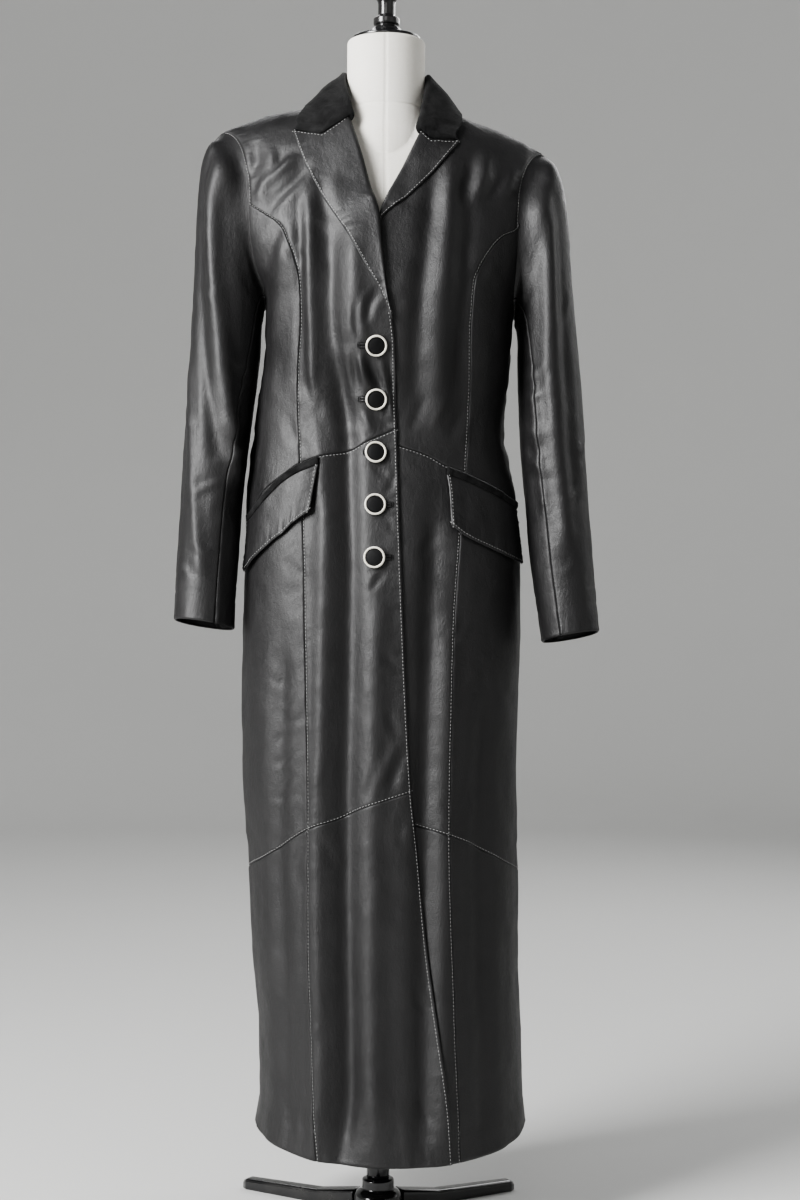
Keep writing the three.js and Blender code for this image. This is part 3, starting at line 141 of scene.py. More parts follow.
def smoothstep(value, low, high):
    t = np.clip((value - low) / (high - low), 0, 1)
    return t * t * (3 - 2 * t)


def hump(distance, width):
    return np.exp(-(distance / width) ** 2)


def roundedPower(value, power):
    return np.sign(value) * np.abs(value) ** power


def softNoise(places, size, seed):
    # smooth noise between -1 and 1 in cells of this size
    cells = np.random.default_rng(seed).uniform(-1, 1, (32, 32, 32))
    place = places / size + 100
    low = np.floor(place).astype(int)
    part = place - low
    ease = part * part * (3 - 2 * part)
    total = np.zeros(places.shape[:-1])
    for corner in np.ndindex(2, 2, 2):
        cell = (low + corner) % 32
        share = np.prod(np.where(np.array(corner) == 1, ease, 1 - ease), axis=-1)
        total += share * cells[cell[..., 0], cell[..., 1], cell[..., 2]]
    return total


def ripples(points, rows):
    # slow uneven waves: height, stretch, size and seed of each
    total = 0
    for height, stretch, size, seed in rows:
        total = total + height * softNoise(points * stretch, size, seed)
    return total


def unevenWave(along, seed):
    # an uneven wave along a seam, in waves of about a centimetre
    phase = np.random.default_rng(seed).uniform(0, 2 * math.pi, 4)
    wave = 0.55 * np.sin(along / 1.9 + phase[0]) + 0.4 * np.sin(along / 1.2 + phase[1])
    wave += 0.5 * np.sin(along / 4.1 + phase[2])
    return wave * (0.6 + 0.4 * np.sin(along / 17 + phase[3]))


def walked(points, axis):
    # the way passed across a grid along one of its axes
    gaps = np.linalg.norm(np.diff(points, axis=axis), axis=2)
    zero = np.zeros_like(np.take(gaps, [0], axis=axis))
    return np.concatenate([zero, np.cumsum(gaps, axis=axis)], axis=axis)


def gridNormals(points, closed=False):
    if closed:
        across = np.roll(points, -1, axis=1) - np.roll(points, 1, axis=1)
    else:
        across = np.gradient(points, axis=1)
    along = np.gradient(points, axis=0)
    normals = np.cross(across, along)
    return normals / np.maximum(np.linalg.norm(normals, axis=2, keepdims=True), 1e-9)


def meshObject(name, points, faces, uvs=None):
    mesh = bpy.data.meshes.new(name)
    points = (np.asarray(points) * millimetre).tolist()
    mesh.from_pydata(points, [], [list(map(int, face)) for face in faces])
    if uvs is not None:
        layer = mesh.uv_layers.new(name="cut")
        order = np.zeros(len(mesh.loops), np.int32)
        mesh.loops.foreach_get("vertex_index", order)
        layer.uv.foreach_set("vector", (np.asarray(uvs)[order] * millimetre).astype(np.float32).ravel())
    mesh.polygons.foreach_set("use_smooth", [True] * len(mesh.polygons))
    mesh.update()
    made = bpy.data.objects.new(name, mesh)
    scene.collection.objects.link(made)
    return made


def wallMesh(name, outer, inner):
    # a closed wall between two grids, with the cut's own measure as its map
    rows, columns = outer.shape[:2]
    points = np.concatenate([outer.reshape(-1, 3), inner.reshape(-1, 3)])
    measure = np.stack([walked(outer, 1), walked(outer, 0)], axis=2).reshape(-1, 2)
    at = np.arange(rows * columns).reshape(rows, columns)
    under = at + rows * columns
    face = np.stack([at[:-1, :-1], at[:-1, 1:], at[1:, 1:], at[1:, :-1]], axis=2).reshape(-1, 4)
    back = np.stack([under[:-1, :-1], under[1:, :-1], under[1:, 1:], under[:-1, 1:]], axis=2).reshape(-1, 4)
    ends = [(at[0], under[0]), (at[-1][::-1], under[-1][::-1]),
            (at[:, 0][::-1], under[:, 0][::-1]), (at[:, -1], under[:, -1])]
    rims = [np.stack([line[1:], line[:-1], low[:-1], low[1:]], axis=1) for line, low in ends]
    faces = np.concatenate([face, back, *rims])
    return meshObject(name, points, faces, np.concatenate([measure, measure]))


def turnedMesh(name, profile, segments, place=(0, 0, 0), turn=None, stretch=(1, 1)):
    # a closed round piece from a profile of radius and height, first and last on the axis or the same
    angles = np.arange(segments) * 2 * math.pi / segments
    closedRing = profile[0] == profile[-1]
    rings = profile[:-1] if closedRing else profile
    points, starts = [], []
    for radius, height in rings:
        starts.append(len(points))
        if radius == 0:
            points.append((0, 0, height))
        else:
            across, deep = radius * stretch[0], radius * stretch[1]
            points += [(across * math.cos(a), deep * math.sin(a), height) for a in angles]
    faces = []
    pairs = list(zip(range(len(rings)), range(1, len(rings))))
    if closedRing:
        pairs.append((len(rings) - 1, 0))
    for low, high in pairs:
        a, b = starts[low], starts[high]
        for k in range(segments):
            n = (k + 1) % segments
            if rings[low][0] == 0:
                faces.append((a, b + n, b + k))
            elif rings[high][0] == 0:
                faces.append((a + k, a + n, b))
            else:
                faces.append((a + k, a + n, b + n, b + k))
    points = np.array(points, float)
    if turn is not None:
        points = points @ np.array(turn.to_matrix()).T
    made = meshObject(name, points + np.array(place), faces)
    faceOutwards(made)
    return made


def faceOutwards(piece):
    shape = bmesh.new()
    shape.from_mesh(piece.data)
    bmesh.ops.recalc_face_normals(shape, faces=shape.faces)
    shape.to_mesh(piece.data)
    shape.free()


# The coat's outer form. Turn is the angle round the post from the front middle towards the
# wearer's left, and rise is the height, running on over the shoulder.
body = {
    # height, right side, left side, depth in front, depth behind
    "sections": [
        (60, -167, 200, 178, 147), (115, -166, 198, 176, 145), (176, -160, 193, 171, 141),
        (249, -160, 189, 166, 138), (342, -169, 185, 160, 135), (486, -176, 183, 152, 131),
        (603, -185, 182, 147, 130), (772, -188, 186, 140, 128), (870, -185, 185, 135, 125),
        (965, -183, 179, 122, 108), (1020, -178, 167, 115, 98), (1060, -173, 162, 112, 92),
        (1096, -169, 165, 115, 94), (1150, -161, 170, 127, 104), (1220, -160, 174, 135, 112),
        (1280, -186, 190, 123, 112), (1350, -212, 207, 100, 101), (1420, -221, 213, 80, 100),
        (1520, -222, 213, 68, 104),
    ],
    "roundness": 0.86,
    "shoulder": [(-222, 1454), (-167, 1475), (-110, 1487), (-75, 1493), (0, 1500), (75, 1487), (95, 1480),
                 (144, 1462), (181, 1446), (213, 1428)],
    "shoulderRounding": 95,
    "sideSeamTurn": math.radians(93),
    "foldFade": 100,
    "sideStretch": 2.8,
    "ripples": [(1.2, (1, 1, 0.3), 26, 3), (0.6, (1, 1, 1), 17, 4)],
}
sectionAt = [smoothCurve(body["sections"], 0, column) for column in range(1, 5)]
shoulderAt = smoothCurve(body["shoulder"])


def middleAt(z):
    return (sectionAt[0](z) + sectionAt[1](z)) / 2


def halfWidthAt(z):
    return (sectionAt[1](z) - sectionAt[0](z)) / 2


def bodyForm(turn, rise, share=None):
    # the smooth form under the cloth; share narrows it to the dress form
    rounding = body["shoulderRounding"]
    z = np.minimum(rise, shoulderAt(0))
    for _ in range(5):
        width = share["width"](z) if share else 1
        x = middleAt(z) + width * halfWidthAt(z) * roundedPower(np.sin(turn), body["roundness"])
        start = shoulderAt(x) - rounding
        lean = np.maximum(0, (rise - start) / rounding)
        z = np.where(rise <= start, rise, start + rounding * np.sin(lean))
        over = np.cos(lean)
    facing = np.cos(turn)
    depth = np.where(facing > 0, -sectionAt[2](z), sectionAt[3](z)) * (share["depth"](z) if share else 1)
    return np.stack([x, depth * np.abs(facing) ** body["roundness"] * over, z], axis=-1)


def bodyNormal(turn, rise):
    across = bodyForm(turn + 0.02, rise) - bodyForm(turn - 0.02, rise)
    up = bodyForm(turn, rise + 1) - bodyForm(turn, rise - 1)
    normal = np.cross(across, up)
    long = np.linalg.norm(normal, axis=-1, keepdims=True)
    # at the shoulder's very end it leans out and up
    side = np.sin(turn) * 0.6 * np.ones_like(rise)
    tip = np.stack([side, np.zeros_like(side), 0.8 * np.ones_like(side)], axis=-1)
    return np.where(long > 1e-6, normal / np.maximum(long, 1e-9), tip)


def spotAt(x, z, face="front"):
    # the turn and rise at which the form passes through x and z
    reach = np.clip((x - middleAt(z)) / halfWidthAt(z), -1, 1)
    turn = np.arcsin(roundedPower(reach, 1 / body["roundness"]))
    if face == "back":
        turn = np.where(x < middleAt(z), -math.pi, math.pi) - turn
    rounding = body["shoulderRounding"]
    start = shoulderAt(x) - rounding
    lean = np.clip((z - start) / rounding, 0, 1)
    return np.stack([turn, np.where(z <= start, z, start + rounding * np.arcsin(lean))], axis=-1)


def ridgeSpot(x, face):
    z = shoulderAt(x)
    spot = spotAt(x, z, face)
    rise = z - body["shoulderRounding"] * (1 - math.pi / 2)
    return np.stack([spot[..., 0], rise * np.ones_like(spot[..., 0])], axis=-1)


# Folds run down the cloth: depth, width, and their place as across by height.
# A positive depth is a trough and a negative one a ridge.
bodyFolds = {
    "front": [
        (12, 15, [(-46, 120), (-38, 200), (-40, 367), (-42, 530), (-41, 697), (-40, 850),
                  (-44, 980), (-47, 1050), (-55, 1100)]),
        (9, 15, [(-52, 1080), (-63, 1141), (-70, 1196), (-72, 1250), (-76, 1330)]),
        (-6.5, 13, [(-80, 120), (-74, 200), (-78, 367), (-80, 530), (-76, 697), (-74, 900), (-84, 1040)]),
        (-5, 15, [(-4, 140), (-6, 300), (-8, 500), (-6, 700), (-4, 820)]),
        (4.5, 7, [(-108, 1150), (-109, 1220), (-111, 1290), (-112, 1330)]),
        (-5, 8, [(-90, 1080), (-93, 1180), (-96, 1260), (-97, 1325)]),
        (-3, 12, [(-26, 1110), (-34, 1200), (-44, 1310)]),
        (-6, 14, [(70, 1060), (74, 1180), (82, 1300), (86, 1390)]),
        (6, 13, [(42, 1090), (46, 1200), (56, 1300), (62, 1370)]),
        (5, 11, [(100, 1110), (104, 1220), (114, 1340)]),
        (8.5, 15, [(60, 130), (58, 320), (57, 520), (62, 760), (66, 930)]),
        (-5, 14, [(86, 130), (84, 340), (82, 560), (88, 780)]),
        (6, 13, [(140, 140), (134, 300), (130, 500), (136, 700)]),
        (6, 13, [(-116, 140), (-124, 320), (-132, 520), (-128, 760)]),
    ],
    "back": [
        (11, 14, [(-62, 130), (-58, 330), (-50, 560), (-40, 800), (-34, 980)]),
        (10, 13, [(74, 130), (66, 360), (56, 600), (44, 850), (40, 960)]),
        (-6.5, 14, [(8, 130), (6, 400), (2, 700), (0, 900)]),
        (-6, 10, [(-86, 130), (-82, 360), (-74, 620), (-62, 830)]),
        (-6, 10, [(98, 130), (92, 380), (80, 640), (68, 860)]),
        (7, 11, [(-118, 140), (-114, 380), (-108, 640), (-100, 840)]),
        (7, 11, [(138, 140), (128, 400), (116, 660), (106, 860)]),
        (5, 10, [(-78, 1070), (-84, 1180), (-96, 1310)]),
        (5, 10, [(80, 1060), (86, 1170), (98, 1300)]),
        (3, 8, [(-44, 1040), (-50, 1130), (-60, 1230)]),
        (3, 8, [(40, 1050), (52, 1150), (60, 1250)]),
    ],
}
# Creases run any way: depth, width, and their path on the front, on the back, or round a side,
# where across is the turn in degrees times the side's stretch
creases = {
    "front": [
        # between and beside the buttons
        (2.4, 4.5, [(-34, 1210), (-35, 1184), (-31, 1160)]),
        (2.4, 4.5, [(-38, 1150), (-36, 1118), (-32, 1086)]),
        (4.4, 4.8, [(-20, 1142), (-12, 1120), (-2, 1094)]),
        (-3.4, 4.5, [(-30, 1142), (-25, 1118), (-18, 1098)]),
        (-4.4, 3.2, [(-2, 1142), (1, 1118), (8, 1086), (12, 1062)]),
        (2.4, 3.4, [(7, 1142), (9, 1126), (13, 1106)]),
        (2, 4, [(-16, 1072), (-2, 1060), (9, 1050)]), (-2, 4, [(-26, 1070), (-18, 1052), (-8, 1042)]),
        (1.6, 4, [(-14, 1002), (0, 990), (10, 978)]), (1.8, 5, [(-6, 1228), (-18, 1208), (-24, 1180)]),
        (1.3, 4, [(4, 960), (12, 974), (16, 992)]), (1.5, 4, [(3, 862), (-6, 848), (-14, 836)]),
        (1.2, 4, [(-2, 934), (8, 926), (15, 914)]), (1.2, 5, [(0, 1222), (-16, 1204), (-22, 1182)]),
        # below the shoulders and above the bust
        (-4.5, 6, [(-114, 1412), (-137, 1391), (-160, 1370), (-168, 1350)]),
        (3.5, 7, [(-98, 1400), (-120, 1374), (-142, 1352), (-156, 1330)]),
        (-2.8, 5, [(-150, 1424), (-148, 1400), (-164, 1374)]),
        (3, 7, [(-172, 1436), (-170, 1404), (-184, 1376)]),
        (2.4, 9, [(-84, 1380), (-82, 1350), (-78, 1320)]),
        (-3, 10, [(-132, 1286), (-138, 1230), (-146, 1160)]),
        (3.4, 9, [(-132, 1318), (-146, 1294), (-160, 1262)]),
        (3, 9, [(108, 1420), (112, 1384), (98, 1340)]), (-3.2, 8, [(134, 1424), (130, 1388), (116, 1346)]),
        (2.6, 8, [(160, 1410), (152, 1380), (138, 1350)]), (2, 7, [(184, 1392), (176, 1366), (160, 1342)]),
        (1.6, 6, [(-132, 1300), (-118, 1276), (-100, 1262)]),
        (1.5, 6, [(138, 1270), (124, 1250), (106, 1240)]),
        # towards the waist
        (1.8, 7, [(-110, 1120), (-96, 1096), (-84, 1060)]),
        (1.6, 6, [(-128, 1070), (-118, 1040), (-100, 1020)]),
        (1.6, 7, [(112, 1090), (98, 1064), (84, 1032)]), (1.4, 6, [(60, 1096), (46, 1070), (36, 1044)]),
        (-1.4, 6, [(86, 1100), (74, 1074), (62, 1046)]), (1.4, 6, [(-58, 1040), (-40, 1034), (-24, 1038)]),
        # on the skirt, near the princess seams, the edge and the knee seams
        (1.3, 5, [(-128, 880), (-112, 862), (-98, 856)]), (1.2, 5, [(-120, 664), (-104, 672), (-96, 678)]),
        (1, 3.5, [(-140, 640), (-126, 650), (-112, 648)]),
        (1.1, 3.5, [(-136, 616), (-120, 622), (-106, 634)]),
        (-1, 3.5, [(-144, 604), (-130, 606), (-112, 616)]),
        (1.1, 4, [(-130, 584), (-116, 596), (-104, 596)]),
        (1, 3.5, [(-146, 572), (-130, 566), (-118, 574)]),
        (1, 3.5, [(-134, 698), (-120, 690), (-110, 702)]),
        (-0.9, 3.5, [(-118, 556), (-108, 566), (-98, 560)]),
        (1, 4, [(-150, 730), (-134, 716), (-124, 726)]),
        (1.9, 6, [(12, 582), (20, 606), (34, 636)]), (-1.4, 6, [(0, 588), (8, 614), (20, 646)]),
        (1.3, 5, [(24, 650), (14, 668), (10, 690)]), (1.3, 5, [(-20, 568), (-12, 590), (-8, 612)]),
        (1.2, 5, [(24, 738), (10, 748), (2, 764)]), (1.4, 6, [(30, 552), (26, 530), (30, 504)]),
        (1.2, 5, [(56, 560), (48, 536), (46, 508)]), (1.2, 6, [(-80, 520), (-66, 506), (-60, 480)]),
        (1.4, 6, [(-96, 510), (-106, 490), (-108, 460)]), (1.1, 5, [(100, 540), (112, 560), (116, 590)]),
        (1.3, 6, [(76, 160), (60, 176), (54, 200)]), (1.2, 5, [(-20, 130), (-12, 150), (-14, 180)]),
        (1.2, 5, [(-90, 132), (-96, 156), (-92, 184)]), (1, 5, [(20, 128), (26, 146), (22, 172)]),
        (1.2, 5, [(60, 300), (50, 316), (46, 344)]), (1, 4, [(90, 770), (100, 786), (108, 810)]),
        (1.1, 5, [(50, 880), (60, 900), (72, 912)]), (1, 4, [(120, 700), (130, 716), (136, 740)]),
    ],
    "back": [
        (2.2, 10, [(-120, 1420), (-104, 1380), (-92, 1330)]),
        (-2, 9, [(-90, 1430), (-78, 1390), (-70, 1340)]),
        (2.2, 10, [(112, 1410), (98, 1372), (86, 1320)]), (-2, 9, [(84, 1420), (74, 1380), (64, 1336)]),
        (1.6, 8, [(-60, 1450), (-20, 1440), (20, 1446), (56, 1438)]),
        (1.5, 7, [(-150, 1330), (-128, 1300), (-120, 1262)]),
        (1.5, 7, [(146, 1320), (126, 1290), (118, 1250)]),
        (2.2, 9, [(-96, 1090), (-60, 1072), (-24, 1068)]),
        (-1.8, 8, [(-110, 1064), (-74, 1046), (-36, 1044)]), (2, 8, [(30, 1070), (64, 1078), (98, 1096)]),
        (-1.6, 8, [(20, 1040), (58, 1048), (96, 1066)]), (1.8, 8, [(-90, 1026), (-50, 1012), (-16, 1018)]),
        (1.6, 8, [(24, 1012), (56, 1018), (88, 1032)]), (1.3, 6, [(-130, 930), (-104, 912), (-90, 890)]),
        (1.3, 6, [(128, 920), (106, 900), (94, 876)]), (1.4, 6, [(-20, 640), (-8, 612), (-10, 580)]),
        (1.2, 5, [(20, 700), (12, 676), (14, 650)]), (1.2, 5, [(-120, 620), (-104, 604), (-96, 580)]),
        (1.2, 5, [(122, 600), (108, 586), (98, 560)]), (1.4, 6, [(-40, 470), (-30, 440), (-34, 410)]),
        (1.3, 6, [(36, 470), (28, 446), (32, 414)]), (1.2, 6, [(-100, 160), (-92, 190), (-96, 220)]),
        (1.2, 6, [(100, 150), (90, 180), (94, 214)]), (1.1, 5, [(0, 160), (6, 190), (2, 220)]),
    ],
    "side": [
        (1.8, 8, [(-262, 1190), (-236, 1166), (-216, 1150)]),
        (1.5, 6, [(-270, 1130), (-246, 1112), (-222, 1106)]),
        (1.8, 7, [(-280, 1060), (-250, 1044), (-222, 1040)]),
        (-1.5, 6, [(-276, 1036), (-248, 1020), (-224, 1016)]),
        (1.6, 7, [(-284, 1000), (-256, 990), (-230, 994)]),
        (1.3, 6, [(-290, 820), (-270, 800), (-250, 796)]),
        (1.8, 8, [(262, 1180), (238, 1158), (216, 1144)]),
        (1.5, 6, [(272, 1124), (246, 1108), (224, 1098)]),
        (1.8, 7, [(280, 1056), (250, 1038), (222, 1034)]),
        (-1.4, 6, [(276, 1030), (250, 1014), (226, 1010)]),
        (1.4, 7, [(282, 990), (256, 980), (232, 984)]), (1.3, 6, [(288, 810), (270, 792), (248, 790)]),
        (6, 13, [(-256, 140), (-252, 320), (-250, 560), (-256, 760)]),
        (5.5, 12, [(258, 150), (256, 360), (252, 600), (258, 780)]),
        (-5, 12, [(-292, 140), (-286, 380), (-280, 620)]), (-5, 12, [(292, 140), (288, 400), (282, 640)]),
        (1.2, 5, [(-240, 520), (-226, 506), (-222, 480)]), (1.2, 5, [(244, 516), (230, 500), (226, 470)]),
    ],
}


def foldDepth(across, height, folds, fade):
    total = np.zeros_like(across)
    for depth, width, path in folds:
        place = smoothCurve(path, 1, 0)
        low, high = path[0][1], path[-1][1]
        if low > high:
            low, high = high, low
        start = smoothstep(height, low - fade / 2, low + fade / 2)
        end = 1 - smoothstep(height, high - fade / 2, high + fade / 2)
        total += depth * (start * end) * hump(across - place(height), width)
    return total


def creaseDepth(across, height, rows):
    total = np.zeros_like(across)
    for depth, width, path in rows:
        path = np.array(path, float)
        lengths = np.linalg.norm(np.diff(path, axis=0), axis=1)
        passed = 0
        nearest = np.full(across.shape, 1e6)
        share = np.zeros_like(across)
        for start, end, length in zip(path[:-1], path[1:], lengths):
            way = (end - start) / length
            along = np.clip((across - start[0]) * way[0] + (height - start[1]) * way[1], 0, length)
            away = np.hypot(across - start[0] - along * way[0], height - start[1] - along * way[1])
            share = np.where(away < nearest, (passed + along) / lengths.sum(), share)
            nearest = np.minimum(away, nearest)
            passed += length
        pressed = hump(nearest, width) - 0.4 * hump(nearest - 2 * width, width)
        total += depth * pressed * np.sin(np.pi * share) ** 0.7
    return total


def clothDepth(points, turn):
    x, z = points[..., 0], points[..., 2]
    facing = np.cos(turn)
    near = smoothstep(np.abs(facing), 0, 0.45)
    front = foldDepth(x, z, bodyFolds["front"], body["foldFade"]) + creaseDepth(x, z, creases["front"])
    back = foldDepth(x, z, bodyFolds["back"], body["foldFade"]) + creaseDepth(x, z, creases["back"])
    side = creaseDepth(np.degrees(turn) * body["sideStretch"], z, creases["side"])
    return np.where(facing > 0, front, back) * near + side + ripples(points, body["ripples"])


def bodyPoint(spots, out=0, plain=False):
    turn, rise = spots[..., 0], spots[..., 1]
    base = bodyForm(turn, rise)
    depth = 0 if plain else clothDepth(base, turn)
    return base + bodyNormal(turn, rise) * np.expand_dims(np.asarray(out - depth), -1)


# Edges of the cut pieces, as lines of spots by the share along them
cut = {
    "frontEdge": {
        rightSide: [(100, 96), (186, 88), (271, 77), (370, 64), (496, 51), (581, 41), (698, 33.6),
                    (826, 27.5), (955, 22), (1083, 17), (1182, 12.5), (1212, 7), (1278, -1), (1340, -9),
                    (1361, -16), (1416, -31), (1466, -46.6)],
        leftSide: [(100, 20), (400, -2), (700, -22), (955, -32), (1182, -34), (1250, -22),
                   (1300, -14), (1337, -4), (1396, 24), (1446, 46.8)],
    },
    "princess": {
        rightSide: [(100, -76), (250, -84), (398, -91), (530, -92), (698, -96.4), (910, -103), (1020, -109),
                    (1087, -112), (1221, -112), (1257, -115), (1289, -124), (1320, -141), (1334, -160),
                    (1342, -181)],
        leftSide: [(100, 107), (300, 97), (524, 89), (701, 91), (907, 101), (1009, 109.4), (1100, 113.6),
                   (1201, 116), (1246, 121), (1281, 137), (1305, 156), (1319, 176), (1322, 190)],
    },
    "waist": {
        rightSide: [(-190, 900), (-184, 923), (-161, 964), (-131, 988), (-106, 1004), (-75, 1013),
                    (-43, 1020), (-17, 1032), (15, 1046), (40, 1056)],
        leftSide: [(-50, 1050), (21, 1026), (60, 1013), (82, 1001), (111, 991), (148, 974),
                   (176, 955), (186, 930)],
    },
    "knee": {
        rightSide: [(-190, 466), (-171, 476), (-123, 510), (-90, 531), (-52, 545), (-22, 559), (16, 572),
                    (44, 581), (70, 588)],
        leftSide: [(-20, 560), (51, 536), (88, 524), (128, 507), (181, 471), (190, 465)],
    },
    "backKnee": {"side": 465, "centre": 442},
    "backWaist": (940, 1215),
    # shares of the way at which the joined edges change from one line to the next
    "joins": {"roll": 13 / 15, "bodice": 7 / 15, "backKnee": 9 / 28, "backWaist": 16 / 28, "backNeck": 6 / 9},
    "neckCorner": (0.86, 9),  # share of the neck's x, and drop below the shoulder line
    "hem": {"front": 107, "side": 128, "back": 131},
    "armhole": {
        rightSide: {"top": 1454, "bottom": 1216, "halfDepth": 62, "corner": 84},
        leftSide: {"top": 1428, "bottom": 1205, "halfDepth": 62, "corner": 84},
    },
    "armholePoint": 1.2,
    "armpit": 1.02 * math.pi,
    "neckSideX": {rightSide: -70, leftSide: 70},
    "neckBackHeight": 1473,
}
cloth = {
    "thickness": 1.7, "step": 4.6, "fineStep": 3.4, "hemDepth": 38,
    "overlapLift": 3.8, "crossingLift": 2.6, "layerGap": 0.9,
    # where the lift of the right front comes in across, ends, and grows over the left lapel
    "overlapReach": (-50, -12), "overlapEnd": (1345, 1375), "crossing": (1245, 1285),
}
sign = {rightSide: -1, leftSide: 1}
frontEdgeAt = {side: smoothCurve(rows) for side, rows in cut["frontEdge"].items()}
princessAt = {side: smoothCurve(rows) for side, rows in cut["princess"].items()}
stitchLines = {}


def asSpots(turn, rise):
    turn, rise = np.broadcast_arrays(turn, rise)
    return np.stack([turn, rise], axis=-1).astype(float)


def seamLine(curve, low, high):
    return lambda t: spotAt(curve(lerp(low, high, t)), lerp(low, high, t))


def turnLine(turn, low, high):
    return lambda t: asSpots(turn, lerp(low, high, t))


def outlineLine(points, face="front"):
    line = smoothLine(points)

    def spots(t):
        places = line(np.atleast_1d(t))
        return spotAt(places[:, 0], places[:, 1], face)

    return spots


def spotsLine(spots):
    # straight on between given spots
    spots = np.array(spots, float)
    at = np.linspace(0, 1, len(spots))
    return lambda t: np.stack([np.interp(t, at, spots[:, 0]), np.interp(t, at, spots[:, 1])], axis=-1)


def joinedLine(*pieces):
    # pieces are pairs of the share where each ends and its line
    def spots(t):
        t = np.atleast_1d(np.asarray(t, float))
        found = np.zeros((len(t), 2))
        start = 0
        for end, line in pieces:
            inside = (t >= start) & (t <= end + 1e-9)
            found[inside] = line((t[inside] - start) / (end - start))
            start = end
        return found

    return spots


def armholeSpot(side, angle):
    hole = cut["armhole"][side]
    angle = np.atleast_1d(np.asarray(angle, float))
    z = (hole["top"] + hole["bottom"]) / 2 + (hole["top"] - hole["bottom"]) / 2 * np.cos(angle)
    y = hole["halfDepth"] * roundedPower(np.sin(angle), cut["armholePoint"])
    rounding = body["shoulderRounding"]
    reach = np.ones_like(z)
    for _ in range(24):
        x = middleAt(z) + sign[side] * halfWidthAt(z) * reach
        start = shoulderAt(x) - rounding
        lean = np.arcsin(np.clip((z - start) / rounding, 0, 1))
        rise = np.where(z <= start, z, start + rounding * lean)
        depth = np.where(y > 0, sectionAt[2](z), sectionAt[3](z)) * np.cos(lean)
        facing = np.minimum(1, (np.abs(y) / np.maximum(depth, 1)) ** (1 / body["roundness"]))
        reach = reach + 0.5 * (np.sqrt(1 - facing * facing) ** body["roundness"] - reach)
    turn = np.arcsin(np.minimum(1, reach) ** (1 / body["roundness"]))
    spots = asSpots(sign[side] * np.where(y >= 0, turn, math.pi - turn), rise)
    tip = armholeTip(side)
    nearTip = smoothstep(np.cos(angle), 0.985, 0.9999)[:, None]
    tipTurn = np.where(y >= 0, tip[0], sign[side] * math.pi - tip[0])
    return lerp(spots, asSpots(tipTurn, tip[1]), nearTip)


def armholeTip(side):
    column = 0 if side == rightSide else 1
    return ridgeSpot(sectionAt[column](cut["armhole"][side]["top"]), "front")


def armholeLine(side, start, end):
    return lambda t: armholeSpot(side, lerp(start, end, np.asarray(t)))


def seamRise(height, turn, guess):
    z = np.full_like(np.asarray(turn, float), guess)
    for _ in range(8):
        z = height(bodyForm(turn, z)[..., 0])
    return z


def sidewaysLine(height, fromTurn, toTurn, guess, end=None):
    def spots(t):
        turn = lerp(fromTurn, toTurn, np.asarray(t, float))
        rise = seamRise(height, turn, guess)
        if end is not None:
            rise = rise + (end - seamRise(height, np.array([toTurn]), guess)[0]) * smoothstep(t, 0.6, 1)
        return asSpots(turn, rise)

    return spots


def seamCrossing(height, curve, guess):
    z = guess
    for _ in range(12):
        z = float(height(curve(z)))
    return z


def hemLine(fromTurn, toTurn):
    def spots(t):
        turn = lerp(fromTurn, toTurn, np.asarray(t, float))
        return asSpots(turn, hemRise(turn))

    return spots


def hemRise(turn):
    facing = np.cos(turn)
    end = np.where(facing > 0, cut["hem"]["front"], cut["hem"]["back"])
    return lerp(cut["hem"]["side"], end, np.abs(facing) ** 1.5)


def backNeckLine(side):
    start = ridgeSpot(cut["neckSideX"][side], "back")
    middle = middleAt(cut["neckBackHeight"])
    end = spotAt(middle, cut["neckBackHeight"], "back")

    def spots(t):
        t = np.asarray(t, float)
        turn = lerp(start[0], sign[side] * math.pi, t)
        return asSpots(turn, lerp(start[1], end[1], np.sin(t * math.pi / 2)))

    return spots


def shoulderLine(side, face, fromNeck=True):
    neck = cut["neckSideX"][side]
    column = 0 if side == rightSide else 1
    tip = sectionAt[column](cut["armhole"][side]["top"])
    ends = (neck, tip) if fromNeck else (tip, neck)
    return lambda t: ridgeSpot(lerp(*ends, np.asarray(t, float)), face)


def gridShares(length, step):
    # closer together near both ends, where seams and edges turn
    near = np.array([0, 0.6, 1.4, 2.5, 4, 6, 8.5])
    if length < 3 * near[-1]:
        return np.linspace(0, 1, max(6, round(length / 2)))
    count = max(2, round((length - 2 * near[-1]) / step))
    middle = np.linspace(near[-1], length - near[-1], count + 1)
    return np.concatenate([near[:-1], middle, length - near[-2::-1]]) / length


def fillSpots(edges, u, v):
    # the spots between four edges
    bottom, top = edges["bottom"](u)[None], edges["top"](u)[None]
    left, right = edges["left"](v)[:, None], edges["right"](v)[:, None]
    u, v = u[None, :, None], v[:, None, None]
    between = (1 - v) * bottom + v * top + (1 - u) * left + u * right
    lowCorners = (1 - u) * bottom[:, :1] + u * bottom[:, -1:]
    highCorners = (1 - u) * top[:, :1] + u * top[:, -1:]
    corners = (1 - v) * lowCorners + v * highCorners
    return between - corners


def lineLength(line):
    spots = line(np.linspace(0, 1, 30))
    return np.linalg.norm(np.diff(bodyForm(spots[:, 0], spots[:, 1]), axis=0), axis=1).sum()


